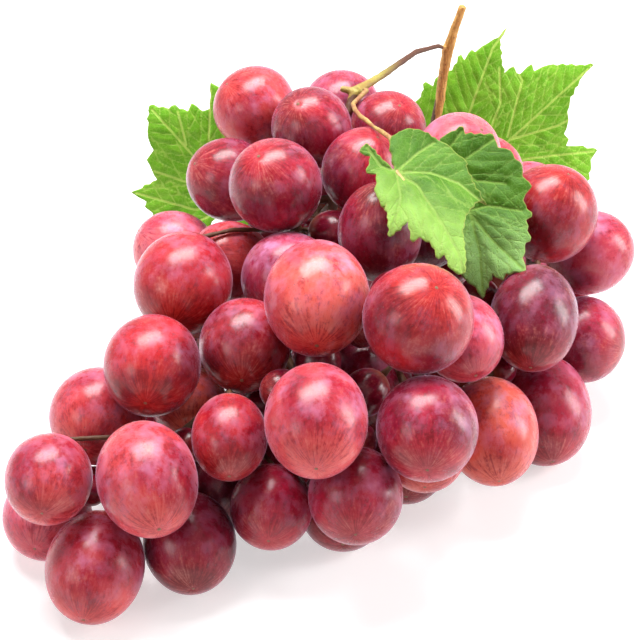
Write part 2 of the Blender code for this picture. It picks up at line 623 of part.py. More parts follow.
def ray_depths(across, down, far_side):
    """Depth at which each line of sight meets the berries: their near side, or their far side."""
    rays = forward + np.outer((across - SIGHT_MIDDLE) / SIGHT_SCALE, right)
    rays = rays - np.outer((down - SIGHT_MIDDLE) / SIGHT_SCALE, upward)
    offset = eye - centres
    found = np.full((len(across), count), -NO_BERRY if far_side else NO_BERRY)
    for index in range(count):
        squash = 1 / halves[index] ** 2 - 1 / radii[index] ** 2
        along_ray = rays @ alongs[index]
        along_eye = offset[index].dot(alongs[index])
        a = np.einsum("ij,ij->i", rays, rays) / radii[index] ** 2 + squash * along_ray ** 2
        b = rays @ offset[index] / radii[index] ** 2 + squash * along_ray * along_eye
        c = offset[index].dot(offset[index]) / radii[index] ** 2 + squash * along_eye ** 2 - 1
        inside = b ** 2 - a * c
        root = np.sqrt(np.clip(inside, 0, None))
        depth = (-b + root) / a if far_side else (-b - root) / a
        found[:, index] = np.where(inside > 0, depth, found[:, index])
    return rays, found.max(axis=1) if far_side else found.min(axis=1)


def in_outline(point, edge):
    """Whether a point lies inside a closed outline."""
    inside = False
    for (x0, y0), (x1, y1) in zip(edge, edge[1:] + edge[:1]):
        if (y0 > point[1]) != (y1 > point[1]):
            if point[0] < x0 + (point[1] - y0) * (x1 - x0) / (y1 - y0):
                inside = not inside
    return inside


def edge_distance(point, edge):
    best = math.inf
    for start, end in zip(edge, edge[1:] + edge[:1]):
        start = np.array(start, dtype=float)
        span = np.array(end, dtype=float) - start
        part = np.clip((np.array(point) - start).dot(span) / span.dot(span), 0, 1)
        best = min(best, np.linalg.norm(np.array(point) - start - span * part))
    return best


def rise(drawing, x, y):
    """How far a leaf's surface comes forward of its join: sloping both ways and curling away sideways."""
    side_slope, up_slope = drawing["slope"]
    bend = x if drawing["both_sides"] else np.maximum(x, 0.0)
    return side_slope * x + up_slope * y - drawing["curl"] * bend ** 2


def leaf_surface(drawing, in_front):
    """Middle surface of a leaf as points and triangles, held clear of the berries."""
    corners = [tuple(map(float, corner)) for corner in drawing["edge"]]
    edge = []
    for start, end in zip(corners, corners[1:] + corners[:1]):
        steps = max(1, int(round(math.dist(start, end) / LEAF_CELL)))
        for step in range(steps):
            edge.append(tuple(a + (b - a) * step / steps for a, b in zip(start, end)))
    inner = [(0.0, 0.0)] if edge_distance((0, 0), edge) > ON_EDGE else []
    low = np.min(corners, axis=0)
    high = np.max(corners, axis=0)
    row_step = LEAF_CELL * ROW_SHARE
    for row in range(int((high[1] - low[1]) / row_step) + 1):
        for column in range(int((high[0] - low[0]) / LEAF_CELL) + 1):
            point = (low[0] + (column + 0.5 * (row % 2)) * LEAF_CELL, low[1] + row * row_step)
            clear = math.hypot(*point) > JOIN_SPACE and edge_distance(point, edge) > EDGE_SHARE * LEAF_CELL
            if clear and in_outline(point, edge):
                inner.append(point)
    flat = [Vector(point) for point in edge + inner]
    border = [(index, (index + 1) % len(edge)) for index in range(len(edge))]
    made = delaunay_2d_cdt(flat, border, [list(range(len(edge)))], 1, 1e-5)
    spots = np.array([tuple(point) for point in made[0]])
    triangles = [tuple(face) for face in made[2]]
    scale = SIGHT_SCALE / drawing["depth"]
    across = drawing["join"][0] + spots[:, 0] * scale
    down = drawing["join"][1] - spots[:, 1] * scale
    depth = drawing["depth"] - rise(drawing, spots[:, 0], spots[:, 1])
    wanted = depth.copy()
    rays, bound = ray_depths(across, down, not in_front)
    near = [set() for spot in spots]
    for face in triangles:
        for corner in range(3):
            near[face[corner]].update((face[corner - 1], face[corner - 2]))
    for step in range(LEAF_ROUNDS):
        mean = np.array([depth[list(others)].mean() for others in near])
        depth = depth + LEAF_SMOOTHING * (mean - depth) + LEAF_RETURN * (wanted - depth)
        if in_front:
            depth = np.minimum(depth, bound - LEAF_CLEARANCE)
        else:
            depth = np.maximum(depth, bound + LEAF_CLEARANCE)
    points = eye + rays * depth[:, None]
    return points, triangles


def leaf_blade(points, triangles):
    """A closed thin solid on both sides of a middle surface."""
    normals = np.zeros_like(points)
    for face in triangles:
        normal = np.cross(points[face[1]] - points[face[0]], points[face[2]] - points[face[0]])
        for corner in face:
            normals[corner] += normal
    normals /= np.linalg.norm(normals, axis=1)[:, None]
    number = len(points)
    shell = list(points + normals * LEAF_THICKNESS / 2) + list(points - normals * LEAF_THICKNESS / 2)
    faces = [tuple(face) for face in triangles]
    faces += [tuple(number + corner for corner in reversed(face)) for face in triangles]
    sides = {(face[corner - 1], face[corner]) for face in triangles for corner in range(3)}
    faces += [(end, start, number + start, number + end) for start, end in sides if (end, start) not in sides]
    return shell, faces


def leaf(name, drawing, in_front, stalk_route, stalk_radius, material, in_sight=False):
    """A leaf blade with its leafstalk, grown as one piece. A stalk in sight keeps its route as seen."""
    points, triangles = leaf_surface(drawing, in_front)
    scale = SIGHT_SCALE / drawing["depth"]
    depth = (points - eye) @ forward
    seen = (points - eye) / depth[:, None]

    def on_blade(across, up):
        spot = sight(drawing["join"][0] + across * scale, drawing["join"][1] - up * scale)
        nearest = np.argmin(np.linalg.norm(seen - spot, axis=1))
        return eye + spot * depth[nearest]

    join = on_blade(0.0, 0.0)
    route = np.array(stalk_route(join))
    rough = divide(list(route[1:]) + [join], LEAFSTALK_STEP)
    path = np.vstack([route[0], rough, on_blade(*drawing["midrib"])])
    if not in_sight:
        path = relax(path, stalk_radius, 2, 2)
    widths = np.full(len(path), stalk_radius)
    widths[0] = stalk_radius * LEAFSTALK_FLARE
    stem = tube(path, fitted(path, widths), LEAFSTALK_SIDES)
    return joined(name, [leaf_blade(points, triangles), stem], material)


def light_route(join):
    toward = knuckle + np.array([-0.1, -1.0, 0.2])
    start, out = off_surface(knuckle, unit(arch[-1] - knuckle), toward, KNUCKLE_RADIUS + KNUCKLE_SPACE)
    return [start, out] + [eye + sight(across, down) * depth for across, down, depth in LIGHT_STALK_SEEN]


def dark_route(join):
    spot = cane_points[CANE_LEAF_NODE - 1]
    direction = unit(cane_points[CANE_LEAF_NODE - 1] - cane_points[CANE_LEAF_NODE])
    toward = spot + np.array([-0.3, -1.0, 0.0])
    start, out = off_surface(spot, direction, toward, CANE_RADIUS[CANE_LEAF_NODE - 1])
    return [start, out, (30, 80, 53), (29, 62, 55), (26, 44, 57), (27, 33, 66)]


def right_back_route(join):
    spot = cane_points[CANE_LEAF_NODE]
    direction = unit(cane_points[CANE_LEAF_NODE] - cane_points[CANE_LEAF_NODE + 1])
    start, out = off_surface(spot, direction, spot + np.array([0.8, 0.6, 0.0]), CANE_RADIUS[CANE_LEAF_NODE])
    return [start, out, join + np.array([0.0, -1.5, 4.0])]


def left_back_route(join):
    spot = cane_points[CANE_LEAF_NODE]
    direction = unit(cane_points[CANE_LEAF_NODE] - cane_points[CANE_LEAF_NODE + 1])
    start, out = off_surface(spot, direction, spot + np.array([-1.0, -0.5, 0.0]), CANE_RADIUS[CANE_LEAF_NODE])
    return [start, out, (22, 96, 29), (8, 97, 26), (-8, 98, 23), join + np.array([3.0, 2.0, -2.0])]


leaf("leaf_front_light", LIGHT_LEAF, True, light_route, FRONT_LEAFSTALK_RADIUS,
     look("leaf_light", LIGHT_LEAF_LOOK), in_sight=True)
leaf("leaf_front_dark", DARK_LEAF, True, dark_route, FRONT_LEAFSTALK_RADIUS,
     look("leaf_dark", DARK_LEAF_LOOK))
leaf("leaf_back_right", RIGHT_BACK_LEAF, False, right_back_route, BACK_LEAFSTALK_RADIUS,
     look("leaf_back_right", BACK_LEAF_LOOK))
leaf("leaf_back_left", LEFT_BACK_LEAF, False, left_back_route, BACK_LEAFSTALK_RADIUS,
     look("leaf_back_left", BACK_LEAF_LOOK))
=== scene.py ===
import itertools
import json
import math
import random

import bmesh
import bpy
import numpy as np
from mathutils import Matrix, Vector, noise
from mathutils.bvhtree import BVHTree
from mathutils.geometry import delaunay_2d_cdt

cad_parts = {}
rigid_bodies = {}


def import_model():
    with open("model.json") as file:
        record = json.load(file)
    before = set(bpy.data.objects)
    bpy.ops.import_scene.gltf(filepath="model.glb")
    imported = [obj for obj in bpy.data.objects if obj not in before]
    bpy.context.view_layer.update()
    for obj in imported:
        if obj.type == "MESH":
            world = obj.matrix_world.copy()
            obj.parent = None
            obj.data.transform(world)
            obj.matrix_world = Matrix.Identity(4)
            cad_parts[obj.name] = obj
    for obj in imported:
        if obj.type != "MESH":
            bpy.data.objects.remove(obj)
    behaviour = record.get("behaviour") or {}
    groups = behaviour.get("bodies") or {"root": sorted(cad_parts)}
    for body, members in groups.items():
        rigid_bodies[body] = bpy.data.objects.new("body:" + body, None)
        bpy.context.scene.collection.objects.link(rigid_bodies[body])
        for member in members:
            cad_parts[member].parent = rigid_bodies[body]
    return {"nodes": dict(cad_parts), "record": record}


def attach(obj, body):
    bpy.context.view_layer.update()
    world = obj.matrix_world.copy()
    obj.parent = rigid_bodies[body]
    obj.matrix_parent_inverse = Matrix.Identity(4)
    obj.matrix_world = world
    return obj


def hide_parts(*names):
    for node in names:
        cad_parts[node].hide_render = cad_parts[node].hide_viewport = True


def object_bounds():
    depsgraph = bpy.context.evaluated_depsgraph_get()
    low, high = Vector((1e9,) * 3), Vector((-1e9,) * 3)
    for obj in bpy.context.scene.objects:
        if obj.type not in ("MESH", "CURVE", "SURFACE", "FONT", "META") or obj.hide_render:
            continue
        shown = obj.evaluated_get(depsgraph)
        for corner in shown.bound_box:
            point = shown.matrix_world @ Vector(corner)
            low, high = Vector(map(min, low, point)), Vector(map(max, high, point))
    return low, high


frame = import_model()
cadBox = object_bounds()
mm = 0.001

# The line of sight of the photograph, in the part's frame. Lengths in metres.
sight = {
    "fall": math.radians(35.0),
    "distance": 0.500,
    "target": (-0.0045, -0.01465, 0.035),
    "focal": 1858.0,         # in pixels of the picture
    "picture": 640.0,
    "sensor": 36.0,
}
sightForward = np.array([0.0, math.cos(sight["fall"]), -math.sin(sight["fall"])])
sightRight = np.array([1.0, 0.0, 0.0])
sightUp = np.array([0.0, math.sin(sight["fall"]), math.cos(sight["fall"])])
sightEye = np.array(sight["target"]) - sightForward * sight["distance"]


def raysThrough(across, down):    # rays one unit deep through places in the picture
    side = (np.atleast_1d(across) - sight["picture"] / 2) / sight["focal"]
    drop = (np.atleast_1d(down) - sight["picture"] / 2) / sight["focal"]
    return sightForward + np.outer(side, sightRight) - np.outer(drop, sightUp)


def depthOf(place):    # how far a place is along the line of sight
    return (np.array(place) - sightEye) @ sightForward


def unit(vector):
    return vector / np.linalg.norm(vector)


def squareTo(direction):
    helper = np.array([0.0, 0.0, 1.0]) if abs(direction[2]) < 0.8 else np.array([1.0, 0.0, 0.0])
    first = unit(np.cross(direction, helper))
    return first, np.cross(direction, first)


def newObject(name, mesh):
    piece = bpy.data.objects.new(name, mesh)
    bpy.context.scene.collection.objects.link(piece)
    return piece


def meshFrom(name, points, faces):
    mesh = bpy.data.meshes.new(name)
    mesh.from_pydata([tuple(map(float, p)) for p in points], [], faces)
    mesh.shade_smooth()
    return mesh


def addValues(mesh, name, kind, values):    # one value, vector or colour for each vertex
    attribute = mesh.attributes.new(name, kind, "POINT")
    field = {"FLOAT": "value", "FLOAT_VECTOR": "vector", "FLOAT_COLOR": "color"}[kind]
    attribute.data.foreach_set(field, np.asarray(values, dtype=np.float32).ravel())


def readVertices(mesh):    # positions and normals as rows of numbers
    found = []
    for source, field in ((mesh.vertices, "co"), (mesh.vertex_normals, "vector")):
        values = np.zeros(len(source) * 3, dtype=np.float32)
        source.foreach_get(field, values)
        found.append(values.reshape(-1, 3).astype(float))
    return found


def mergedCopy(node):    # corners and faces of a CAD node with its loose triangles joined
    source = bpy.data.objects[node].data
    shape = bmesh.new()
    shape.from_mesh(source)
    bmesh.ops.remove_doubles(shape, verts=shape.verts[:], dist=1e-6)
    return shape


def settledMesh(piece):    # the piece's mesh with its modifiers applied
    graph = bpy.context.evaluated_depsgraph_get()
    mesh = bpy.data.meshes.new_from_object(piece.evaluated_get(graph))
    piece.modifiers.clear()
    piece.data = mesh
    return mesh


def finishPiece(piece, slot, *nodes):
    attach(piece, "root")
    if nodes:
        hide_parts(*nodes)


class Wire:    # a value in a node tree that plain arithmetic works on
    def __init__(self, graph, socket):
        self.graph = graph
        self.socket = socket

    def math(self, operation, *others):
        return self.graph.math(operation, self, *others)

    def __add__(self, other):
        return self.math("ADD", other)

    def __sub__(self, other):
        return self.math("SUBTRACT", other)

    def __rsub__(self, other):
        return self.graph.math("SUBTRACT", other, self)

    def __mul__(self, other):
        return self.math("MULTIPLY", other)

    def __truediv__(self, other):
        return self.math("DIVIDE", other)

    def __pow__(self, other):
        return self.math("POWER", other)

    __radd__ = __add__
    __rmul__ = __mul__

    def within(self, low, high):    # 0 below low, 1 above high, smooth between
        return self.graph.node("ShaderNodeMapRange", {"interpolation_type": "SMOOTHSTEP"},
                               {"Value": self, "From Min": low, "From Max": high})


class Graph:    # a node tree whose nodes are made together with what feeds them
    def __init__(self, tree):
        self.tree = tree

    def node(self, kind, settings, sockets, output=0):
        made = self.tree.nodes.new(kind)
        for name, value in settings.items():
            setattr(made, name, value)
        for name, value in sockets.items():
            found = [s for s in made.inputs if s.identifier == name]
            found += [s for s in made.inputs if s.name == name]
            self.feed(found[0], value)
        if isinstance(output, str):
            found = [s for s in made.outputs if s.identifier == output or s.name == output]
            return Wire(self, found[0])
        return Wire(self, made.outputs[output])

    def feed(self, socket, value):
        if isinstance(value, Wire):
            self.tree.links.new(value.socket, socket)
        else:
            socket.default_value = value

    def math(self, operation, *values):
        made = self.tree.nodes.new("ShaderNodeMath")
        made.operation = operation
        for index, value in enumerate(values):
            self.feed(made.inputs[index], value)
        return Wire(self, made.outputs[0])

    def vector(self, operation, first, second, output=0):
        return self.node("ShaderNodeVectorMath", {"operation": operation},
                         {"Vector": first, "Vector_001": second}, output)


class Finish(Graph):    # a material and its nodes
    def __init__(self, name, **constants):
        self.material = bpy.data.materials.new(name)
        self.material.use_nodes = True
        super().__init__(self.material.node_tree)
        self.shader = self.tree.nodes["Principled BSDF"]
        for socket, value in constants.items():
            self.shader.inputs[socket.replace("_", " ")].default_value = value

    def mix(self, factor, first, second, blend="MIX"):
        return self.node("ShaderNodeMix", {"data_type": "RGBA", "blend_type": blend},
                         {"Factor_Float": factor, "A_Color": first, "B_Color": second}, "Result_Color")

    def attribute(self, name, output="Fac"):
        return self.node("ShaderNodeAttribute", {"attribute_name": name}, {}, output)

    def place(self):    # Object coordinates in millimetres
        coordinates = self.node("ShaderNodeTexCoord", {}, {}, "Object")
        return self.vector("MULTIPLY", coordinates, (1000.0, 1000.0, 1000.0))

    def noise(self, where, size, detail=3.0, roughness=0.5, output="Fac"):
        return self.node("ShaderNodeTexNoise", {}, {"Vector": where, "Scale": 1.0 / size, "Detail": detail,
                                                    "Roughness": roughness}, output)

    def cells(self, where, size, feature="F1"):
        return self.node("ShaderNodeTexVoronoi", {"feature": feature}, {"Vector": where, "Scale": 1.0 / size},
                         "Distance")

    def bump(self, height, distance, strength):
        return self.node("ShaderNodeBump", {}, {"Height": height, "Distance": distance, "Strength": strength})

    def give(self, **wires):
        for name, wire in wires.items():
            self.tree.links.new(wire.socket, self.shader.inputs[name.replace("_", " ")])
        return self.material


# The skin of the berries. Each kind has a light and a dark tone, the share of dark, and its share of bloom,
# which also carries painted sheen.
berrySkin = {
    "kinds": {
        "peach": ((0.66, 0.105, 0.080), (0.42, 0.022, 0.030), 0.46, 0.50),
        "coral": ((0.57, 0.058, 0.062), (0.33, 0.007, 0.024), 0.46, 0.44),
        "scarlet": ((0.44, 0.013, 0.018), (0.23, 0.002, 0.012), 0.50, 0.30),
        "brick": ((0.41, 0.018, 0.026), (0.21, 0.004, 0.015), 0.50, 0.34),
        "amber": ((0.58, 0.095, 0.060), (0.40, 0.026, 0.026), 0.42, 0.40),
        "crimson": ((0.37, 0.006, 0.032), (0.18, 0.001, 0.018), 0.50, 0.38),
        "rose": ((0.66, 0.130, 0.165), (0.48, 0.032, 0.072), 0.40, 0.68),
        "pink": ((0.52, 0.050, 0.085), (0.32, 0.008, 0.036), 0.50, 0.62),
        "lilac": ((0.42, 0.045, 0.095), (0.25, 0.009, 0.042), 0.50, 0.78),
        "wine": ((0.23, 0.002, 0.022), (0.105, 0.001, 0.011), 0.50, 0.26),
    },
    "other": {    # berries that are nearer the photograph in another kind than their slot's
        "berry_small_dark": "scarlet", "berry_top_dark": "crimson", "berry_left_outer": "rose",
        "berry_rose_back": "pink", "berry_tip_front": "coral", "berry_tip_low": "rose",
        "berry_top_shade": "crimson", "berry_left_back": "coral", "berry_upper_back": "wine",
        "berry_centre_coral": "peach", "berry_right_outer": "crimson", "berry_left_upper": "scarlet",
        "berry_top_left": "coral",
    },
    # the wax bloom's lilac colour, also used as painted sheen on the up- and right-facing sides
    "bloom": (0.63, 0.29, 0.50, 1.0),
    "speck": (0.13, 0.014, 0.014, 1.0),
    "streak": (0.56, 0.22, 0.34, 1.0),
    # on the berries this is only the pale tone of the random mottling
    "pale": (0.70, 0.25, 0.20, 1.0),
    "blossom": (0.47, 0.045, 0.018, 1.0),
    "stemEnd": (0.55, 0.30, 0.10, 1.0),
}


def makeBerrySkin():
    skin = Finish("berrySkin", IOR=1.38, Subsurface_Weight=0.35, Subsurface_Radius=(1.0, 0.16, 0.12),
                  Subsurface_Scale=0.0035, Sheen_Weight=0.30, Sheen_Roughness=0.30,
                  Sheen_Tint=(0.95, 0.64, 0.93, 1.0))
    where = skin.place()
    tone = skin.attribute("skinTone", "Color")
    own = skin.attribute("ownPlace", "Vector")
    split = skin.tree.nodes.new("ShaderNodeSeparateXYZ")
    skin.feed(split.inputs[0], own)
    x, y, along = (Wire(skin, socket) for socket in split.outputs)
    away = (x * x + y * y + 0.002) ** 0.5
    meridian = skin.node("ShaderNodeCombineXYZ", {}, {"X": x / away, "Y": y / away, "Z": along * 0.45})
    turned = skin.vector("ADD", meridian, skin.vector("MULTIPLY", where, (0.004, 0.004, 0.004)))
    streaks = skin.noise(turned, 0.085, 5.0, 0.70)
    broad = skin.noise(where, 7.0, 3.0, 0.55)
    fine = skin.noise(where, 0.9, 3.0, 0.6)
    blossom = along.within(0.35, 1.0)
    stemEnd = (0.0 - along).within(0.55, 1.0)
    tone = skin.mix(blossom * 0.24, tone, berrySkin["blossom"])
    shade = (streaks - 0.5) * (1.5 + blossom * 2.2) + (broad - 0.5) * 1.6 + (fine - 0.5) * 1.5
    darker = skin.mix(1.0, tone, berrySkin["streak"], "MULTIPLY")
    lighter = skin.mix(0.42, tone, berrySkin["pale"])
    colour = skin.mix(shade.within(-0.05, 0.55), tone, darker)
    colour = skin.mix((0.0 - shade).within(0.0, 0.9) * 0.8, colour, lighter)
    colour = skin.mix(stemEnd * 0.22, colour, berrySkin["stemEnd"])
    specks = skin.cells(where, 1.7)
    speckSize = skin.noise(where, 2.6, 1.0)
    speckMask = (specks / (speckSize * 0.20)).within(1.0, 0.55)
    colour = skin.mix(speckMask * 0.75, colour, berrySkin["speck"])
    smear = skin.noise(skin.vector("MULTIPLY", where, (1.0, 1.0, 0.45)), 3.2, 5.0, 0.62)
    # Wax bloom with painted sheen: the bloom attribute is heavier on the up- and right-facing sides, towards
    # the lamps.
    dustAndSheen = skin.attribute("bloom") * smear.within(0.34, 0.70) * (1.0 - blossom * 0.75)
    wiped = skin.noise(where, 5.5, 2.0).within(0.40, 0.62)
    dustAndSheen = dustAndSheen * (0.35 + wiped * 0.75)
    colour = skin.mix(dustAndSheen, colour, berrySkin["bloom"])
    rough = 0.25 + dustAndSheen * 0.36 + (fine - 0.5) * 0.10 + speckMask * 0.1
    relief = (0.0 - speckMask) * 0.5 + fine * 0.16 + broad * 0.7
    normal = skin.bump(relief, 0.00016, 0.55)
    return skin.give(Base_Color=colour, Roughness=rough, Normal=normal)


print("making the berry skin")
berryMaterial = makeBerrySkin()

berryShape = {
    "turns": 64,
    "bands": 40,
    "swell": 0.10,           # mm past the CAD's facets, so that neighbours nearly touch
    "dimple": (0.75, 2.3),   # depth and reach at the stem end, mm
    "pit": (0.28, 0.85),     # depth and reach at the blossom end, mm
    "lumps": 0.010,
    "press": 0.02,
    "stemAt": 0.45,          # how far inside its end a berry's collar is set, and its scar, mm
    "scarAt": 0.22,
}


def measureBerry(node):    # middle, axis, half width and half length of a CAD berry
    shape = mergedCopy(node)
    points = np.array([v.co for v in shape.verts]) / mm
    shape.free()
    inner = points[points[:, 2] > 1e-3]
    middle = inner.mean(axis=0)
    keep = np.ones(len(inner), dtype=bool)
    for attempt in range(2):
        p = inner[keep] - middle
        x, y, z = p.T
        terms = np.column_stack([x * x, y * y, z * z, 2 * x * y, 2 * x * z, 2 * y * z, 2 * x, 2 * y, 2 * z])
        f = np.linalg.lstsq(terms, np.ones(len(p)), rcond=None)[0]
        form = np.array([[f[0], f[3], f[4]], [f[3], f[1], f[5]], [f[4], f[5], f[2]]])
        shift = -np.linalg.solve(form, f[6:])
        level = 1 + shift @ form @ shift
        offset = inner - middle - shift
        error = np.einsum("ij,jk,ik->i", offset, form / level, offset) - 1
        stemEnd = int(np.argmin(error))
        keep[stemEnd] = False
    centre = middle + shift
    stemPole = inner[stemEnd]
    along = unit(centre - stemPole)
    offset = inner[keep] - centre
    t = offset @ along
    r2 = (offset ** 2).sum(axis=1) - t ** 2
    inverse = np.linalg.lstsq(np.column_stack([r2, t * t]), np.ones(len(t)), rcond=None)[0]
    return centre, along, 1 / math.sqrt(inverse[0]), 1 / math.sqrt(inverse[1])


def ball(turns, bands):    # corners and faces of a round shape one unit in radius, with its poles on Z
    corners = [(0.0, 0.0, -1.0)]
    for band in range(1, bands):
        angle = math.pi * band / bands
        out, up = math.sin(angle), -math.cos(angle)
        for turn in range(turns):
            swing = 2 * math.pi * turn / turns
            corners.append((out * math.cos(swing), out * math.sin(swing), up))
    corners.append((0.0, 0.0, 1.0))
    faces = []
    for turn in range(turns):
        after = (turn + 1) % turns
        faces.append((0, 1 + after, 1 + turn))
        for band in range(bands - 2):
            low = 1 + band * turns
            faces.append((low + turn, low + after, low + turns + after, low + turns + turn))
        low = 1 + (bands - 2) * turns
        faces.append((low + turn, low + after, len(corners) - 1))
    return corners, faces


def dressBerry(mesh, tones, places, bloomsAndSheen):    # what the skin's material reads
    addValues(mesh, "skinTone", "FLOAT_COLOR", tones)
    addValues(mesh, "ownPlace", "FLOAT_VECTOR", places)
    addValues(mesh, "bloom", "FLOAT", bloomsAndSheen)
    mesh.materials.append(berryMaterial)


def dent(size, away):    # a round hollow of a depth and reach, at a distance from its middle
    return size[0] * math.exp(-(away / size[1]) ** 2)


def berryMesh(node, kind, seed):
    centre, along, radius, half = measureBerry(node)
    draw = random.Random(seed)
    first, second = squareTo(along)
    light, dark, darkShare, bloomAndSheenShare = berrySkin["kinds"][kind]
    light = np.array(light) * draw.uniform(0.92, 1.08)
    dark = np.array(dark) * draw.uniform(0.9, 1.1)
    start = Vector((draw.uniform(0, 50), draw.uniform(0, 50), draw.uniform(0, 50)))
    own, faces = ball(berryShape["turns"], berryShape["bands"])
    own = np.array(own)
    points, tones, bloomsAndSheen = [], [], []
    wide = radius + berryShape["swell"]
    tall = half + berryShape["swell"]
    for x, y, z in own:
        spot = Vector((x, y, z))
        lump = 1 + berryShape["lumps"] * noise.noise(start + spot * 1.3)
        away = math.hypot(x, y) * wide
        dimple = dent(berryShape["dimple"], away) if z < 0 else 0.0
        pit = dent(berryShape["pit"], away) if z > 0 else 0.0
        point = centre + (first * x + second * y) * wide * lump + along * (z * tall * lump + dimple - pit)
        outward = unit(first * x / wide + second * y / wide + along * z / tall)
        patchAndShade = 0.5 + 1.5 * noise.noise(start + spot * 0.9) + 0.7 * noise.noise(start + spot * 2.4)
        # Random dark patches, with painted shade: the dark share rises on the down-facing sides.
        patchAndShade = min(max(patchAndShade + darkShare - 0.5 - 0.12 * outward[2], 0.0), 1.0)
        tone = light + (dark - light) * patchAndShade
        # Painted sheen: the bloom is weighted towards the up- and right-facing sides, where the overhead and
        # right lamps shine.
        litSideWeight = 0.45 + 0.4 * max(outward[2], 0.0) + 0.25 * max(outward[0], 0.0)
        points.append((point[0], point[1], max(point[2], berryShape["press"])))
        tones.append((*tone, 1.0))
        bloomsAndSheen.append(bloomAndSheenShare * litSideWeight)
    mesh = meshFrom(node.replace("berry_", "grape_"), np.array(points) * mm, faces)
    dressBerry(mesh, tones, own, bloomsAndSheen)
    return mesh, centre, along, radius, half


slotOf = {entry["node"]: entry["material_slot"] for entry in frame["record"]["subparts"]}
berryNodes = sorted(node for node in frame["nodes"] if node.startswith("berry_"))
stemEnds, blossomEnds, berryForms = [], [], []
for number, node in enumerate(berryNodes):
    kind = berrySkin["other"].get(node, slotOf[node].replace("skin_", ""))
    mesh, centre, along, radius, half = berryMesh(node, kind, number)
    berryForms.append((centre, along, radius, half))
    piece = newObject(mesh.name, mesh)
    finishPiece(piece, slotOf[node], node)
    stemEnds.append((centre - along * (half - berryShape["stemAt"]), along))
    blossomEnds.append((centre + along * (half - berryShape["scarAt"]), along))
print("berries made:", len(berryNodes))

# Berries inside the bunch, in the room that the outer ones and the stems leave. Sizes in mm.
innerBerries = {
    "radius": (5.0, 8.4),
    "gapLeast": 3.0,         # smallest radius where one closes a gap that would show the floor
    "gapStep": 4,            # pixels between the lines of sight that look for gaps
    "gapDepths": (7.0, 75.0, 3.0),    # how far behind the berries round a gap, from, to and step
    "buried": (0.62, 0.70),  # share of directions that outer berries must cover, in a gap and in the core
    "grid": 2.6,
    "gap": 0.3,
    "most": 44,
    "narrow": 0.94,          # width as a share of the length
    "stem": (0.62, 0.95),    # radius at the stalk and at the berry
    "stemIn": (0.3, 0.2),    # how far its ends go into the stalk and the berry
    "stemRoots": 120,        # how many places on the stalk are tried for each
    "sides": 8,
    "turns": 28,
    "bands": 18,
    # almost no bloom, so that the inner berries stay dark as painted shade in the gaps
    "bloom": 0.03,
    "seed": 12,
}


def roomAt(points, others=()):    # free distance from each point to the nearest berry
    free = np.full(len(points), 1e9)
    for centre, along, radius, half in [*berryForms, *others]:
        offset = points - centre
        t = offset @ along
        distance = np.linalg.norm(offset, axis=1)
        across = np.sqrt(np.clip(distance ** 2 - t ** 2, 0, None))
        level = np.sqrt((across / radius) ** 2 + (t / half) ** 2) + 1e-9
        free = np.minimum(free, distance * (1 - 1 / level))
    return free


def nodesTree(names):    # the faces of some CAD nodes, in mm, as a search tree
    shape = bmesh.new()
    for name in names:
        shape.from_mesh(frame["nodes"][name].data)
    bmesh.ops.scale(shape, vec=(1 / mm, 1 / mm, 1 / mm), verts=shape.verts[:])
    tree = BVHTree.FromBMesh(shape)
    shape.free()
    return tree


def roomWithWood(points, wood, least):    # the places with enough room, and how much
    free = roomAt(points)
    points, free = points[free > least], free[free > least]
    free = np.minimum(free, [wood.find_nearest(Vector(point))[3] for point in points])
    return points, np.minimum(free, points[:, 2])


def corePlaces(wood):    # open places all through the bunch
    centres = np.array([form[0] for form in berryForms])
    corners = zip(centres.min(axis=0), centres.max(axis=0))
    axes = [np.arange(low, high, innerBerries["grid"]) for low, high in corners]
    points = np.array(np.meshgrid(*axes, indexing="ij")).reshape(3, -1).T
    return roomWithWood(points, wood, innerBerries["radius"][0])


def gapPlaces(wood):    # lines of sight to the floor with berries all round, and places on them
    step = innerBerries["gapStep"]
    rows = np.arange(step / 2, sight["picture"], step)
    across, down = np.meshgrid(rows, rows)
    rays = raysThrough(across.ravel(), down.ravel())
    solid = nodesTree(frame["nodes"])
    start = sightEye / mm
    met = [solid.ray_cast(Vector(start), Vector(ray))[0] for ray in rays]
    depth = [math.inf if spot is None else (np.array(spot) - start) @ sightForward for spot in met]
    depth = np.array(depth).reshape(across.shape)
    clear = np.isinf(depth)
    outside = np.zeros_like(clear)
    for side in (np.s_[0], np.s_[-1], np.s_[:, 0], np.s_[:, -1]):
        outside[side] = clear[side]
    known = -1
    while outside.sum() != known:
        known = outside.sum()
        for shift, axis in ((1, 0), (-1, 0), (1, 1), (-1, 1)):
            outside |= np.roll(outside, shift, axis=axis) & clear
    gaps, points = [], []
    for row, column in zip(*np.nonzero(clear & ~outside)):
        ray = rays[row * len(rows) + column]
        around = depth[max(row - 5, 0):row + 6, max(column - 5, 0):column + 6]
        front = np.median(around[np.isfinite(around)])
        gaps.append(ray)
        points += [start + ray * (front + behind) for behind in np.arange(*innerBerries["gapDepths"])]
    points, free = roomWithWood(np.array(points), wood, innerBerries["gapLeast"] + innerBerries["gap"])
    return np.array(gaps), points, free


def covered(point, cover):    # share of directions in which outer berries are met
    ways = [Vector(way).normalized() for way in itertools.product((-1, 0, 1), repeat=3) if any(way)]
    return sum(cover.ray_cast(Vector(point), way)[0] is not None for way in ways) / len(ways)


def stemRoot(centre, radius, roots, placed):    # nearest place on the stalk with a clear way to the berry
    nearest = roots[np.argsort(np.linalg.norm(roots - centre, axis=1))[:innerBerries["stemRoots"]]]
    ways = centre - nearest
    ends = 1.0 - radius / np.linalg.norm(ways, axis=1)
    steps = np.linspace(0.0, 1.0, 8)[None, :, None] * ends[:, None, None]
    places = (nearest[:, None, :] + ways[:, None, :] * steps).reshape(-1, 3)
    room = roomAt(places, placed).reshape(len(nearest), -1)
    clear = np.nonzero(room.min(axis=1) > innerBerries["stem"][1] * 0.8)[0]
    return nearest[clear[0]] if len(clear) else None


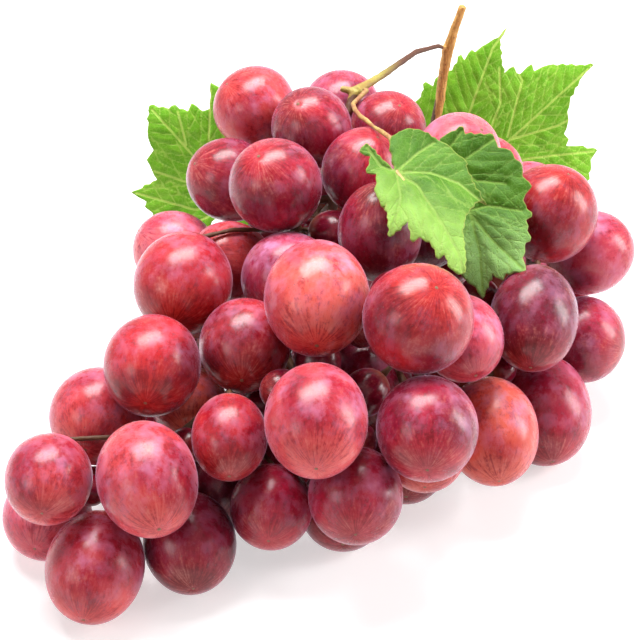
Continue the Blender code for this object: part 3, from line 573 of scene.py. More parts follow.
def fillRoom(points, free, least, share, gaps, placed, roots, draw):    # fills the widest places first
    cover = nodesTree(berryNodes)
    while len(placed) < innerBerries["most"] and len(points):
        best = int(np.argmax(free))
        if free[best] - innerBerries["gap"] < least:
            break
        centre = points[best]
        if covered(centre, cover) < share:
            free[best] = 0.0
            continue
        near = np.linalg.norm(points - centre, axis=1)
        radius = min(free[best] - innerBerries["gap"], draw.uniform(*innerBerries["radius"]))
        wide = radius * innerBerries["narrow"]
        covers = np.ones(1, dtype=bool)
        if gaps is not None:
            offset = centre - sightEye / mm
            covers = np.linalg.norm(offset - gaps * (offset @ sightForward), axis=1) < wide
        root = None
        if covers.any():
            root = stemRoot(centre, radius, roots, [form[:4] for form in placed])
        if root is None:
            free[near < 1.5] = 0.0
            continue
        if gaps is not None:
            gaps = gaps[~covers]
        placed.append((centre, unit(centre - root), wide, radius, root))
        free = np.minimum(free, near - radius)
    return gaps


def makeInnerBerries():
    wood = nodesTree(["stalk"] + [node for node in frame["nodes"] if node.startswith("leaf_")])
    roots = np.array([v.co for v in frame["nodes"]["stalk"].data.vertices]) / mm
    draw = random.Random(innerBerries["seed"])
    sphere, rings = ball(innerBerries["turns"], innerBerries["bands"])
    placed = []
    gaps, points, free = gapPlaces(wood)
    gapShare, coreShare = innerBerries["buried"]
    left = fillRoom(points, free, innerBerries["gapLeast"], gapShare, gaps, placed, roots, draw)
    print("gaps seen:", len(gaps), "left:", len(left), "berries in them:", len(placed))
    points, free = corePlaces(wood)
    for centre, along, wide, half, root in placed:
        free = np.minimum(free, np.linalg.norm(points - centre, axis=1) - half)
    fillRoom(points, free, innerBerries["radius"][0], coreShare, None, placed, roots, draw)
    verts, faces, tones, owns, stems = [], [], [], [], []
    # Painted shade: the inner berries wear the darkest wine tones and almost no bloom, so the gaps between
    # the outer berries look deep in shade.
    light, dark = (np.array(tone) for tone in berrySkin["kinds"]["wine"][:2])
    for centre, along, wide, half, root in placed:
        first, second = squareTo(along)
        base = len(verts)
        for x, y, z in sphere:
            verts.append(centre + (first * x + second * y) * wide + along * z * half)
            tones.append((*(light + (dark - light) * (0.5 + 0.3 * z)), 1.0))
        owns += sphere
        faces += [tuple(base + corner for corner in ring) for ring in rings]
        stems.append((root, centre - along * (half - innerBerries["stemIn"][1])))
    mesh = meshFrom("innerGrapes", np.array(verts) * mm, faces)
    dressBerry(mesh, tones, owns, np.full(len(verts), innerBerries["bloom"]))
    finishPiece(newObject("innerGrapes", mesh), "skin_crimson")
    volume = sum(4 / 3 * math.pi * wide ** 2 * half for centre, along, wide, half, root in placed) / 1000
    print("inner berries made:", len(placed), "cm3:", round(volume, 1))
    return stems


innerStems = makeInnerBerries()


def dressBark(mesh, woody, dusky):    # what the bark's material reads, for all corners or for each
    for name, values in (("woody", woody), ("dusky", dusky)):
        addValues(mesh, name, "FLOAT", np.broadcast_to(values, len(mesh.vertices)))


def makeInnerStems():    # one short tapering stem from the stalk to each inner berry
    sides = innerBerries["sides"]
    verts, faces = [], []
    for start, end in innerStems:
        along = unit(end - start)
        first, second = squareTo(along)
        base = len(verts)
        for place, radius in zip((start - along * innerBerries["stemIn"][0], (start + end) / 2, end),
                                 (*innerBerries["stem"][:1] * 2, innerBerries["stem"][1])):
            for side in range(sides):
                turn = 2 * math.pi * side / sides
                verts.append(place + (first * math.cos(turn) + second * math.sin(turn)) * radius)
        faces.append(tuple(base + side for side in reversed(range(sides))))
        for ring in (base, base + sides):
            for side in range(sides):
                after = (side + 1) % sides
                faces.append((ring + side, ring + after, ring + sides + after, ring + sides + side))
        faces.append(tuple(base + 2 * sides + side for side in range(sides)))
    mesh = meshFrom("innerStems", np.array(verts) * mm, faces)
    # The inner stems are painted brown as painted shade.
    dressBark(mesh, 0.0, stalkLook["inside"])
    mesh.materials.append(stalkMaterial)
    finishPiece(newObject("innerStems", mesh), "stalk")


# The collars at the stems' ends and the scars at the blossom ends. Sizes in mm.
smallParts = {
    "sides": 14,
    "rings": 3,
    "bumps": 900.0,
    "seed": 5,
    "scale": (0.8, 1.2),
    "collar": {"stem side": 1.15, "berry side": 1.95, "length": 1.5, "roughness": 0.5},
    "collarBack": 0.9,       # how far behind the stem end a collar stands
    "scar": {"stem side": 0.62, "berry side": 0.30, "length": 0.22, "roughness": 0.25},
    "scarTones": ((0.10, 0.035, 0.02, 1.0), (0.30, 0.15, 0.08, 1.0)),
}


def stickOut(name, ends, material, sizes):    # one small ring or point on each end, by Geometry Nodes
    mesh = bpy.data.meshes.new(name)
    mesh.from_pydata([tuple(place * mm) for place, direction in ends], [], [])
    addValues(mesh, "aim", "FLOAT_VECTOR", [direction for place, direction in ends])
    tree = bpy.data.node_groups.new(name, "GeometryNodeTree")
    tree.interface.new_socket("Geometry", in_out="INPUT", socket_type="NodeSocketGeometry")
    inputs = {key: tree.interface.new_socket(key, in_out="INPUT", socket_type="NodeSocketFloat")
              for key in sizes}
    tree.interface.new_socket("Geometry", in_out="OUTPUT", socket_type="NodeSocketGeometry")
    graph = Graph(tree)
    given = {key: graph.node("NodeGroupInput", {}, {}, key) for key in ("Geometry", *sizes)}
    low, high = smallParts["scale"]
    cone = graph.node("GeometryNodeMeshCone", {}, {
        "Vertices": smallParts["sides"], "Side Segments": smallParts["rings"], "Depth": given["length"],
        "Radius Bottom": given["stem side"], "Radius Top": given["berry side"]}, "Mesh")
    bumps = graph.node("ShaderNodeTexNoise", {}, {"Scale": smallParts["bumps"]}, "Color")
    spread = graph.node("ShaderNodeVectorMath", {"operation": "SCALE"}, {
        "Vector": graph.vector("SUBTRACT", bumps, (0.5, 0.5, 0.5)), "Scale": given["roughness"]})
    aim = graph.node("GeometryNodeInputNamedAttribute", {"data_type": "FLOAT_VECTOR"}, {"Name": "aim"},
                     "Attribute")
    made = graph.node("GeometryNodeInstanceOnPoints", {}, {
        "Points": given["Geometry"],
        "Instance": graph.node("GeometryNodeSetPosition", {}, {"Geometry": cone, "Offset": spread}),
        "Rotation": graph.node("FunctionNodeAlignRotationToVector", {"axis": "Z"}, {"Vector": aim}),
        "Scale": graph.node("FunctionNodeRandomValue", {"data_type": "FLOAT"}, {
            "Min_001": low, "Max_001": high, "Seed": smallParts["seed"]}, "Value_001")})
    for kind, sockets in (("RealizeInstances", {}), ("SetShadeSmooth", {}),
                          ("SetMaterial", {"Material": material})):
        made = graph.node("GeometryNode" + kind, {}, {"Geometry": made, **sockets})
    graph.feed(tree.nodes.new("NodeGroupOutput").inputs["Geometry"], made)
    piece = newObject(name, mesh)
    modifier = piece.modifiers.new(name, "NODES")
    modifier.node_group = tree
    for key, value in sizes.items():
        modifier[inputs[key].identifier] = value * mm
    settledMesh(piece)
    return piece


stalkLook = {
    "green": (0.40, 0.36, 0.07, 1.0),
    "olive": (0.30, 0.20, 0.05, 1.0),
    "brown": (0.085, 0.028, 0.015, 1.0),
    "cane": (0.68, 0.38, 0.11, 1.0),
    "caneDark": (0.42, 0.20, 0.040, 1.0),
    "caneFrom": (0.031, 0.0802),    # the cane is past these X and Y
    "archAbove": (0.0625, 0.0465),  # the arch is past these Z and Y
    # The stems inside the bunch are painted brown as painted shade.
    "inside": 0.95,                 # how brown the stems in the bunch are
    "voxel": 0.00036,
    "rounds": 4,                    # of smoothing
    "knobs": 0.00013,
    "duskyFrom": (9.0, 11.0),       # X where the arch starts to brown, and the length it takes, mm
}


def makeStalkFinish():
    bark = Finish("stalkBark", Specular_IOR_Level=0.35)
    where = bark.place()
    wood = bark.attribute("woody")
    long = bark.vector("MULTIPLY", where, (2.2, 2.2, 0.25))
    grain = bark.noise(long, 0.7, 5.0, 0.6)
    broad = bark.noise(where, 6.0, 3.0)
    fine = bark.noise(where, 0.5, 4.0, 0.6)
    stem = bark.mix((broad + (fine - 0.5) * 0.4).within(0.35, 0.62), stalkLook["green"], stalkLook["olive"])
    # Brown where the stalk's arch browns, and painted shade on the stems inside the bunch and on the collars.
    stem = bark.mix(bark.attribute("dusky") * (0.82 + grain * 0.36), stem, stalkLook["brown"])
    streaks = (grain + (broad - 0.5) * 0.8).within(0.36, 0.64)
    cane = bark.mix(streaks, stalkLook["cane"], stalkLook["caneDark"])
    dots = bark.cells(where, 1.1).within(0.30, 0.12)
    cane = bark.mix(dots * 0.6, cane, stalkLook["brown"])
    colour = bark.mix(wood, stem, cane)
    rough = 0.52 + (fine - 0.5) * 0.3
    relief = grain * (0.5 + wood) + fine * 0.4 + dots * 0.4
    return bark.give(Base_Color=colour, Roughness=rough, Normal=bark.bump(relief, 0.00025, 0.7))


stalkMaterial = makeStalkFinish()


def smoothed(piece, voxel, rounds):
    remesh = piece.modifiers.new("remesh", "REMESH")
    remesh.mode = "VOXEL"
    remesh.voxel_size = voxel
    remesh.adaptivity = 0.0
    soften = piece.modifiers.new("soften", "SMOOTH")
    soften.factor = 0.5
    soften.iterations = rounds
    mesh = settledMesh(piece)
    mesh.shade_smooth()
    return mesh


def makeStalk():
    shape = mergedCopy("stalk")
    mesh = bpy.data.meshes.new("vineStalk")
    shape.to_mesh(mesh)
    shape.free()
    piece = newObject("vineStalk", mesh)
    mesh = smoothed(piece, stalkLook["voxel"], stalkLook["rounds"])
    places, normals = readVertices(mesh)
    lumps = np.array([noise.noise(Vector(p * 450)) + 0.5 * noise.noise(Vector(p * 1100)) for p in places])
    places += normals * (stalkLook["knobs"] * (lumps + 0.5))[:, None]
    mesh.vertices.foreach_set("co", places.astype(np.float32).ravel())
    x, y, z = places.T
    woody = (x > stalkLook["caneFrom"][0]) & (y > stalkLook["caneFrom"][1])
    arch = (z > stalkLook["archAbove"][0]) & (y > stalkLook["archAbove"][1])
    start, length = stalkLook["duskyFrom"]
    # The arch browns along X; the stems inside the bunch are painted brown as painted shade.
    dusky = np.where(arch, np.clip((x / mm - start) / length, 0, 1), stalkLook["inside"])
    dressBark(mesh, woody, dusky)
    mesh.materials.clear()
    mesh.materials.append(stalkMaterial)
    finishPiece(piece, "stalk", "stalk")


makeStalk()
makeInnerStems()
collarEnds = [(place - along * smallParts["collarBack"], along) for place, along in stemEnds]
collars = stickOut("berryCollars", collarEnds, stalkMaterial, smallParts["collar"])
# The collars take the inner stems' brown, as painted shade.
dressBark(collars.data, 0.0, stalkLook["inside"])
finishPiece(collars, "stalk")
scarFinish = Finish("blossomScar", Roughness=0.7)
scarGrain = scarFinish.noise(scarFinish.place(), 0.4)
scarMaterial = scarFinish.give(Base_Color=scarFinish.mix(scarGrain, *smallParts["scarTones"]))
finishPiece(stickOut("blossomScars", blossomEnds, scarMaterial, smallParts["scar"]), "stalk")
print("stalk made")

# The leaves, drawn as seen: millimetres across and up from the join, at the join's depth. Each has the
# dark, light and vein tones of its blade, and the spacing and height of its small teeth; the front ones
# also a painted highlight, with its tone, direction and reach.
leafShape = {
    "cell": 0.62,
    "thickness": 0.34,
    "quilt": 0.34,
    "groove": 1.1,
    "sideVeins": 4.6,
    "sideAngle": math.radians(44.0),
    "bladeUnder": 0.75,      # CAD faces with more behind them than this are leafstalk
    "stalkUnder": 2.4,
    "stalkVoxel": 0.00026,
    "creaseReach": 2.6,
    "rounds": 14,            # of smoothing the blade
    "stalkRounds": 3,
    "veinStep": 0.7,
    "veinSteps": 26,
    "veinBend": 0.016,       # how much each step straightens a side vein
    "veinClear": 0.9,        # a side vein ends this near a main one
    "rust": (0.45, 0.36, 0.10, 1.0),
    "stalkTones": ((0.42, 0.30, 0.09, 1.0), (0.30, 0.12, 0.045, 1.0)),
}
backLeaf = {
    "looks": ((0.105, 0.320, 0.007), (0.160, 0.395, 0.018), (0.42, 0.60, 0.11)),
    "teeth": (2.6, 0.60), "crease": 0.0, "slot": "leaf_back",
}
leaves = {
    "leaf_front_light": {
        "join": (396, 172), "depth": 478.0,
        "edge": (
            (-0.8, 0.5), (-3.5, 3), (-6, 6), (-7.5, 7.5), (-9.5, 5), (-6.5, 4), (-7.5, -0.5), (-5, -1),
            (-5, -6), (-3, -9.5), (-2.3, -8.8), (-1.7, -16.8), (3, -13), (4.4, -18.3), (6, -17), (9, -18.3),
            (11, -22.6), (12.5, -21.5), (14, -25), (16, -26.5), (17.8, -26), (17.7, -22), (17, -16),
            (17.5, -12), (20, -8.5), (21.5, -7.5), (23.5, -8.7), (20.5, -4.5), (18, 1), (18.5, 1.5), (16, 4),
            (15, 5), (13, 7), (11, 8), (7.5, 10), (4.5, 10.8), (3, 11), (0.5, 10), (-1.5, 8.5), (-1.7, 7),
            (-1.3, 4), (-0.4, 1)),
        "veins": (
            ((0, 0), (5.7, -3.9), (11.3, -12.6), (16.2, -21.1), (17.2, -25.6)), ((0, 0), (9, -0.4), (16, -3),
            (22.8, -8.3)), ((0, 0), (1.2, -7), (-1.4, -16.2)), ((0, 0), (-4, 1.5), (-7.6, 6.6)), ((0, 0),
            (6, 5), (10, 7.6))),
        "looks": ((0.040, 0.128, 0.005), (0.085, 0.200, 0.018), (0.22, 0.34, 0.070)),
        # painted highlight on the lower-left lobe: its tone, direction and reach
        "pale": ((0.270, 0.450, 0.085), (-0.5, -1.0), (-4.0, 12.0)),
        "teeth": (1.9, 0.55), "crease": 1.5,
        "slot": "leaf_light", "piece": "vineLeafFrontLight",
    },
    "leaf_front_dark": {
        "join": (458, 165), "depth": 500.0,
        "edge": (
            (-5, 7), (-3, 8.3), (1.4, 10.3), (2, 8.2), (9.5, 8.2), (10.2, 6.3), (10.8, 4.5), (14.2, 3.7),
            (15.5, 1.4), (17, 0.5), (17.3, -3.5), (19.8, -6), (18, -8.2), (17.4, -9.8), (19.8, -14),
            (18.2, -15), (19.2, -20.8), (18, -21.2), (17.4, -25.3), (18.3, -28.7), (13, -29.2), (12.3, -31.2),
            (9.3, -29.3), (6.7, -36), (4.8, -33), (2.7, -31.8), (1, -29.6), (-3, -24), (-6, -18), (-5, -12),
            (-9, -8), (-7, -3), (-2, -1), (-1, 1), (-4, 3)),
        "veins": (
            ((0, 0), (2.7, -12.4), (9, -20), (17.5, -28)), ((0, 0), (3, -12), (6, -24), (6.7, -35)), ((0, 0),
            (4, 3), (10.2, 7.2)), ((0, 0), (4.8, -4.3), (12.9, -5.1)), ((2.7, -12.4), (8.1, -11),
            (17.2, -12.4)), ((0, 0), (-2, 5), (1, 9)), ((0, 0), (-3, -8), (-5, -16))),
        "looks": ((0.034, 0.112, 0.003), (0.062, 0.165, 0.008), (0.16, 0.28, 0.045)),
        # painted sheen on the lower part, where the blade turns towards the light: its tone, direction and
        # reach
        "pale": ((0.230, 0.400, 0.120), (0.0, -1.0), (9.0, 26.0)),
        "teeth": (2.2, 0.55), "crease": 1.3,
        "slot": "leaf_dark", "piece": "vineLeafFrontDark",
    },
    "leaf_back_right": {
        "join": (455, 180), "depth": 594.0,
        "edge": (
            (-14.5, 26.5), (-13, 24.8), (-11, 26.5), (-9.4, 31.5), (-7, 30), (-6.4, 32.4), (-1, 35),
            (2, 40.2), (3, 38.3), (5.4, 41.8), (6.4, 40.9), (10, 43.5), (14, 45.7), (16.8, 49), (14.4, 44.8),
            (14.7, 39.6), (15.6, 34), (18.8, 36.5), (19.8, 34.2), (20.8, 33.9), (24.6, 37.2), (25.3, 34.8),
            (29.8, 36.8), (35.5, 36.7), (44.5, 36.8), (42, 34.5), (40, 32), (37, 26.6), (36, 21.8),
            (36.4, 19.2), (34.9, 14.7), (36.5, 13.1), (35.5, 10.9), (38.8, 10.9), (45.6, 9.6), (43.4, 6.4),
            (43.6, 4.8), (42.3, -0.5), (36, 2), (33, -4), (27, -3), (24, -10), (17, -8), (11, -12), (4, -7),
            (0, 0), (-5, -7), (-13, -9), (-15, -4), (-21, -1), (-19, 6), (-23, 12), (-19, 17), (-20, 22)),
        "veins": (
            ((0, 0), (17.1, 12.4), (31, 25), (43.6, 36.4)), ((0, 0), (4.5, 21.3), (12, 42), (16.6, 48.6)),
            ((16.8, 13.8), (21.6, 32), (20.5, 33.6)), ((11.8, 17.4), (14.6, 24.7), (14.2, 36)), ((18, 13),
            (33, 17.4), (36, 19)), ((0, 0), (24, 7), (44.5, 9.2)), ((0, 0), (-8, 12), (-14, 25)), ((0, 0),
            (14, -4), (33, -3)), ((0, 0), (-10, 0), (-20, 3))),
        **backLeaf, "piece": "vineLeafBackRight",
    },
    "leaf_back_left": {
        "join": (225, 205), "depth": 575.0,
        "edge": (
            (-4.5, 38), (-4.4, 34), (-4.7, 29.8), (-7, 29), (-10.4, 31.6), (-11.5, 29), (-16.5, 30.8),
            (-17.4, 29.8), (-23.5, 30.8), (-23.7, 25.6), (-23.9, 20.9), (-22.1, 17), (-24.3, 14),
            (-23.1, 11.8), (-21, 7.8), (-25.6, 5.3), (-29.2, 4), (-27, 2.5), (-24.3, 1), (-24.9, -0.6),
            (-22.4, -2.5), (-20, -8), (-14, -7), (-12, -12), (-6, -8), (0, 0), (5, -8), (12, -9), (13, -2),
            (18, 1), (14, 7), (19, 13), (14, 16), (15, 23), (9, 23), (7, 30), (3, 28), (1, 34), (-2, 36.6)),
        "veins": (
            ((0, 0), (-9.6, 14.9), (-22.5, 29.5)), ((-12, 18.6), (-14.6, 29)), ((0, 0), (-11.8, 7.1),
            (-22, 10.5)), ((0, 0), (-9.3, -1.5), (-27.5, 3.7)), ((0, 0), (-5, 20.4), (-4.4, 36)), ((0, 0),
            (6, 16), (6, 28)), ((0, 0), (9, 4), (17, 6)), ((0, 0), (-6, -4), (-14, -7))),
        **backLeaf, "piece": "vineLeafBackLeft",
    },
}


def makeLeafFinish(name, leaf):
    dark, light, vein = [(*colour, 1.0) for colour in leaf["looks"]]
    blade = Finish(name, Specular_IOR_Level=0.16, Subsurface_Weight=0.15, Subsurface_Radius=(0.3, 1.0, 0.1),
                   Subsurface_Scale=0.0008)
    where = blade.place()
    flat = blade.attribute("leafPlace", "Vector")
    main = blade.attribute("mainVein")
    side = blade.attribute("sideVein")
    edge = blade.attribute("fromEdge")
    warp = blade.vector("MULTIPLY", blade.noise(where, 1.6, 2.0, 0.5, "Color"), (0.5, 0.5, 0.5))
    net = blade.cells(blade.vector("ADD", flat, warp), 1.25, "DISTANCE_TO_EDGE")
    tiny = blade.cells(blade.vector("ADD", flat, warp), 0.42, "DISTANCE_TO_EDGE")
    broad = blade.noise(where, 6.5, 3.0)
    fine = blade.noise(where, 0.35, 3.0)
    colour = blade.mix((broad + (fine - 0.5) * 0.25).within(0.34, 0.66), dark, light)
    if "pale" in leaf:    # painted highlight: the blade is painted paler along one direction, where the light falls on it
        tone, way, reach = leaf["pale"]
        split = blade.tree.nodes.new("ShaderNodeSeparateXYZ")
        blade.feed(split.inputs[0], flat)
        x, y = (Wire(blade, socket) for socket in split.outputs[:2])
        paintedHighlight = (x * way[0] + y * way[1] + (broad - 0.5) * 9.0).within(*reach)
        colour = blade.mix(paintedHighlight * 0.85, colour, (*tone, 1.0))
    bulge = blade.attribute("bulge")
    netLine, tinyLine = net.within(0.11, 0.0), tiny.within(0.09, 0.0)
    sideLine, mainLine = side.within(0.34, 0.08), main.within(0.55, 0.18)
    for share, paint in ((bulge * 0.30, light), (netLine * 0.15 + tinyLine * 0.05, vein),
                         (sideLine * 0.45, vein), (mainLine * 0.85, vein),
                         (edge.within(0.35, 0.05) * 0.30, leafShape["rust"])):
        colour = blade.mix(share, colour, paint)
    rough = 0.50 + (fine - 0.5) * 0.2 + mainLine * 0.1
    relief = (0.0 - netLine) * 0.35 - tinyLine * 0.12 - sideLine * 0.6 - mainLine * 0.8 + fine * 0.08
    return blade.give(Base_Color=colour, Roughness=rough, Normal=blade.bump(relief, 0.0003, 0.6))


def makeLeafstalkFinish():
    bark = Finish("leafstalkBark", Roughness=0.5)
    where = bark.place()
    tone = bark.noise(where, 4.0, 3.0) + (bark.noise(where, 0.5, 3.0) - 0.5) * 0.4
    colour = bark.mix(tone.within(0.36, 0.64), *leafShape["stalkTones"])
    return bark.give(Base_Color=colour, Normal=bark.bump(tone, 0.0002, 0.6))


leafstalkMaterial = makeLeafstalkFinish()


def insideEdge(points, edge):    # inside, a line from the point crosses the edge an odd number of times
    ends = np.roll(edge, -1, axis=0)
    slanted = edge[:, 1] != ends[:, 1]
    (x0, y0), (x1, y1) = edge[slanted].T, ends[slanted].T
    across, up = points[:, :1], points[:, 1:]
    crosses = (y0 > up) != (y1 > up)
    return (crosses & (across < x0 + (up - y0) * (x1 - x0) / (y1 - y0))).sum(axis=1) % 2 == 1


def distanceTo(points, starts, ends):    # distance from each point to the nearest of many segments
    span = ends - starts
    part = np.einsum("pij,ij->pi", points[:, None, :] - starts[None], span) / (span ** 2).sum(axis=1)
    nearest = starts[None] + span[None] * np.clip(part, 0, 1)[:, :, None]
    return np.linalg.norm(points[:, None, :] - nearest, axis=2).min(axis=1)


def segmentsOf(lines):
    return [np.array([line[i + shift] for line in lines for i in range(len(line) - 1)], dtype=float)
            for shift in (0, 1)]


def divided(line, step):
    made = [np.array(line[0], dtype=float)]
    for start, end in zip(line[:-1], line[1:]):
        start, end = np.array(start, dtype=float), np.array(end, dtype=float)
        count = max(1, int(round(np.linalg.norm(end - start) / step)))
        made += [start + (end - start) * (i + 1) / count for i in range(count)]
    return made


def sideVeins(veins, edge):    # veins that leave the main ones at an angle, by turns on each side
    made = []
    mainStarts, mainEnds = segmentsOf(veins)
    for line in veins:
        fine = divided(line, 0.5)
        step = int(leafShape["sideVeins"] / 0.5)
        for side in (-1, 1):
            for index in range(step // 2 + (step // 2 if side > 0 else 0), len(fine) - 2, step):
                direction = unit(fine[index + 1] - fine[index])
                angle = leafShape["sideAngle"] * side
                point = fine[index]
                track = [point]
                for length in range(leafShape["veinSteps"]):
                    bend = angle * (1 - leafShape["veinBend"] * length)
                    heading = np.array([direction[0] * math.cos(bend) - direction[1] * math.sin(bend),
                                        direction[0] * math.sin(bend) + direction[1] * math.cos(bend)])
                    point = point + heading * leafShape["veinStep"]
                    if not insideEdge(point[None], edge)[0]:
                        break
                    near = distanceTo(point[None], mainStarts, mainEnds)[0]
                    if length > 3 and near < leafShape["veinClear"]:
                        break
                    track.append(point)
                if len(track) > 3:
                    made.append(track)
    return made


def toothed(edge, spacing, height):    # small teeth along the longer stretches of an outline
    ends = np.roll(edge, -1, axis=0)
    turn = np.sign(sum(a[0] * b[1] - a[1] * b[0] for a, b in zip(edge, ends)))
    result = []
    for start, end in zip(edge, ends):
        span = end - start
        length = np.linalg.norm(span)
        out = np.array([span[1], -span[0]]) / length * turn
        count = int(length / spacing) if length > 1.5 * spacing else 0
        result.append(start)
        for tooth in range(count):
            tall = height * (0.75 + 0.35 * math.sin(2.3 * tooth + length))
            result.append(start + span * (tooth + 0.62) / count + out * tall)
            if tooth < count - 1:
                result.append(start + span * (tooth + 1.0) / count - out * 0.12)
    return result


def splitLeaf(node):    # the CAD leaf's blade faces as a search tree, and its leafstalk as a closed shape
    shape = mergedCopy(node)
    tree = BVHTree.FromBMesh(shape)
    blade, stalk = [], []
    for face in shape.faces:
        middle = face.calc_center_median()
        hit = tree.ray_cast(middle - face.normal * 1e-5, -face.normal)
        behind = (hit[3] if hit[0] is not None else 1.0) / mm
        if behind < leafShape["bladeUnder"]:
            blade.append(face)
        elif behind < leafShape["stalkUnder"]:
            stalk.append(face)
    corners = [v.co.copy() for v in shape.verts]
    bladeTree = BVHTree.FromPolygons(corners, [tuple(v.index for v in face.verts) for face in blade])
    groups = []
    left = set(stalk)
    while left:
        group = [left.pop()]
        for face in group:
            for edge in face.edges:
                for other in edge.link_faces:
                    if other in left:
                        left.discard(other)
                        group.append(other)
        groups.append(group)
    keep = set(max(groups, key=len))
    bmesh.ops.delete(shape, geom=[face for face in shape.faces if face not in keep], context="FACES")
    bmesh.ops.holes_fill(shape, edges=[e for e in shape.edges if len(e.link_faces) == 1])
    bmesh.ops.recalc_face_normals(shape, faces=shape.faces[:])
    return bladeTree, shape


def makeLeaf(node, leaf):
    edge = [np.array(p, dtype=float) for p in leaf["edge"]]
    edge = toothed(edge, *leaf["teeth"])
    rim = []
    for index, start in enumerate(edge):
        end = edge[(index + 1) % len(edge)]
        count = max(1, int(round(np.linalg.norm(end - start) / leafShape["cell"])))
        rim += [start + (end - start) * i / count for i in range(count)]
    rim = np.array(rim)
    rim = 0.84 * rim + 0.08 * (np.roll(rim, 1, axis=0) + np.roll(rim, -1, axis=0))
    low, high = rim.min(axis=0), rim.max(axis=0)
    cell = leafShape["cell"]
    row = cell * math.sin(math.radians(60))
    rows, columns = int((high[1] - low[1]) / row) + 1, int((high[0] - low[0]) / cell) + 1
    grid = np.array([(low[0] + (c + 0.5 * (r % 2)) * cell, low[1] + r * row)
                     for r in range(rows) for c in range(columns)])
    rimEnds = np.roll(rim, -1, axis=0)
    grid = grid[insideEdge(grid, rim)]
    grid = grid[distanceTo(grid, rim, rimEnds) > 0.45 * cell]
    flat = [Vector(p) for p in np.vstack([rim, grid])]
    border = [(i, (i + 1) % len(rim)) for i in range(len(rim))]
    made = delaunay_2d_cdt(flat, border, [list(range(len(rim)))], 1, 1e-5)
    spots = np.array([tuple(p) for p in made[0]])
    triangles = [tuple(face) for face in made[2]]
    scale = sight["focal"] / leaf["depth"]
    rays = raysThrough(leaf["join"][0] + spots[:, 0] * scale, leaf["join"][1] - spots[:, 1] * scale)
    bladeTree, stalkShape = splitLeaf(node)
    depth = np.zeros(len(spots))
    for index, ray in enumerate(rays):
        length = np.linalg.norm(ray)
        hit = bladeTree.ray_cast(Vector(sightEye), Vector(ray / length))
        if hit[0] is None:
            hit = bladeTree.find_nearest(Vector(sightEye + ray * leaf["depth"] * mm))
            hit = bladeTree.find_nearest(Vector(sightEye + ray * depthOf(hit[0])))
        depth[index] = depthOf(hit[0])
    near = [set() for spot in spots]
    for face in triangles:
        for corner in range(3):
            near[face[corner]].update((face[corner - 1], face[corner - 2]))
    near = [list(others) for others in near]
    for attempt in range(leafShape["rounds"]):
        depth = 0.5 * depth + 0.5 * np.array([depth[others].mean() for others in near])
    points = sightEye + rays * depth[:, None]
    sides = sideVeins(leaf["veins"], rim)
    mainDistance = distanceTo(spots, *segmentsOf(leaf["veins"]))
    sideDistance = distanceTo(spots, *segmentsOf(sides))
    fromEdge = distanceTo(spots, rim, rimEnds)
    veinDistance = np.minimum(mainDistance, sideDistance + 0.15)
    bulge = (1 - np.exp(-(veinDistance / leafShape["groove"]) ** 2)) * np.clip(fromEdge / 2.0, 0, 1)
    normals = np.zeros_like(points)
    for face in triangles:
        normal = np.cross(points[face[1]] - points[face[0]], points[face[2]] - points[face[0]])
        normals[list(face)] += normal
    normals /= np.linalg.norm(normals, axis=1)[:, None]
    toEye = np.sign(np.einsum("ij,ij->i", normals, sightEye - points))
    normals *= np.where(toEye < 0, -1.0, 1.0)[:, None]
    wave = np.array([noise.noise(Vector((s[0] * 0.33, s[1] * 0.33, leaf["depth"]))) for s in spots])
    lift = leafShape["quilt"] * (bulge - 0.5) + 0.35 * wave * np.clip(fromEdge / 3.0, 0.3, 1)
    lift += leaf["crease"] * (1 - np.exp(-mainDistance / leafShape["creaseReach"]))
    points = points + normals * (lift * mm)[:, None]
    ridge = np.exp(-(mainDistance / 0.45) ** 2) * 0.35 + np.exp(-(sideDistance / 0.3) ** 2) * 0.15
    half = leafShape["thickness"] / 2
    shell = np.vstack([points + normals * half * mm, points - normals * ((half + ridge) * mm)[:, None]])
    number = len(points)
    a, b, c = triangles[0]
    if np.cross(points[b] - points[a], points[c] - points[a]) @ normals[a] < 0:
        triangles = [tuple(reversed(face)) for face in triangles]
    faces = list(triangles) + [tuple(number + corner for corner in reversed(face)) for face in triangles]
    edges = {(face[corner - 1], face[corner]) for face in triangles for corner in range(3)}
    faces += [(end, start, number + start, number + end) for start, end in edges if (end, start) not in edges]
    mesh = meshFrom(leaf["piece"], shell, faces)
    for name, values in (("mainVein", mainDistance), ("sideVein", sideDistance), ("fromEdge", fromEdge),
                         ("bulge", bulge)):
        addValues(mesh, name, "FLOAT", np.tile(values, 2))
    flatPlaces = np.column_stack([spots, np.zeros(number)])
    addValues(mesh, "leafPlace", "FLOAT_VECTOR", np.tile(flatPlaces, (2, 1)))
    mesh.materials.append(makeLeafFinish(leaf["piece"] + "Skin", leaf))
    mesh.materials.append(leafstalkMaterial)
    stalkMesh = bpy.data.meshes.new(leaf["piece"] + "Stalk")
    stalkShape.to_mesh(stalkMesh)
    stalkShape.free()
    stalk = newObject(leaf["piece"] + "Stalk", stalkMesh)
    stalkMesh = smoothed(stalk, leafShape["stalkVoxel"], leafShape["stalkRounds"])
    whole = bmesh.new()
    whole.from_mesh(mesh)
    before = len(whole.faces)
    whole.from_mesh(stalkMesh)
    whole.faces.ensure_lookup_table()
    for face in whole.faces[before:]:
        face.material_index = 1
        face.smooth = True
    whole.to_mesh(mesh)
    whole.free()
    bpy.data.objects.remove(stalk, do_unlink=True)
    piece = newObject(leaf["piece"], mesh)
    finishPiece(piece, leaf["slot"], node)
    print("leaf made:", node, len(mesh.polygons), "faces")


for node, leaf in leaves.items():
    makeLeaf(node, leaf)

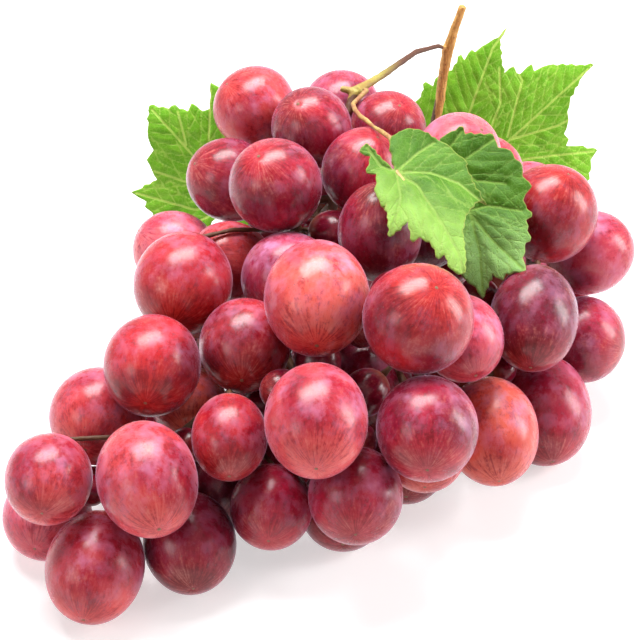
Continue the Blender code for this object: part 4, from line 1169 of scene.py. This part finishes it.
studio = {
    "floor": (0.62, 0.62, 0.62, 1.0),
    "floorGlow": 0.56,
    "world": 0.18,
    "worldShine": 0.85,      # what reflections see of it
    "farGlow": 1.75,         # how much more the floor glows past the lamps' reach
    "farFrom": (450.0, 1500.0),    # mm from the middle, where that starts and where it is full
    "side": 4.0,             # half the floor's width, m
    "aim": (0.0, 0.0, 0.04),
    "lights": (
        ("overhead", (-0.06, 0.14, 0.62), (0.50, 0.26), 9.0),
        ("rightSide", (0.58, -0.02, 0.26), (0.20, 0.40), 3.9),
        ("leftFill", (-0.55, -0.42, 0.36), (0.30, 0.26), 1.2),
    ),
}


def placeFacing(item, place, direction):
    item.location = place
    item.rotation_mode = "QUATERNION"
    item.rotation_quaternion = direction.to_track_quat("-Z", "Y")


def makeStudio():
    side, low = studio["side"], cadBox[0][2]
    corners = [(-side, -side, low), (side, -side, low), (side, side, low), (-side, side, low)]
    floorMesh = meshFrom("floor", corners, [(0, 1, 2, 3)])
    floor = newObject("floor", floorMesh)
    paper = Finish("floorPaper", Roughness=0.9)
    paper.shader.inputs["Base Color"].default_value = studio["floor"]
    away = paper.vector("LENGTH", paper.place(), (0.0, 0.0, 0.0), "Value")
    glow = paper.mix(away.within(*studio["farFrom"]), (1.0, 1.0, 1.0, 1.0), (*[studio["farGlow"]] * 3, 1.0))
    paper.give(Emission_Color=glow)
    paper.shader.inputs["Emission Strength"].default_value = studio["floorGlow"]
    floorMesh.materials.append(paper.material)
    for name, place, size, power in studio["lights"]:
        lamp = bpy.data.lights.new(name, "AREA")
        lamp.shape = "RECTANGLE"
        lamp.size, lamp.size_y = size
        lamp.energy = power
        placeFacing(newObject(name, lamp), place, Vector(studio["aim"]) - Vector(place))
    world = bpy.data.worlds.new("studioAir")
    world.use_nodes = True
    back = world.node_tree.nodes["Background"]
    back.inputs["Color"].default_value = (1.0, 1.0, 1.0, 1.0)
    air = Graph(world.node_tree)
    glossy = air.node("ShaderNodeLightPath", {}, {}, "Is Glossy Ray")
    air.feed(back.inputs["Strength"], air.node("ShaderNodeMapRange", {}, {
        "Value": glossy, "To Min": studio["world"], "To Max": studio["worldShine"]}))
    bpy.context.scene.world = world
    camera = bpy.data.cameras.new("camera")
    camera.sensor_width = sight["sensor"]
    camera.lens = sight["focal"] * sight["sensor"] / sight["picture"]
    camera.clip_start, camera.clip_end = 0.01, 20.0
    eye = newObject("camera", camera)
    placeFacing(eye, sightEye, Vector(sightForward))
    bpy.context.scene.camera = eye
    bpy.context.scene.view_settings.view_transform = "Standard"


makeStudio()
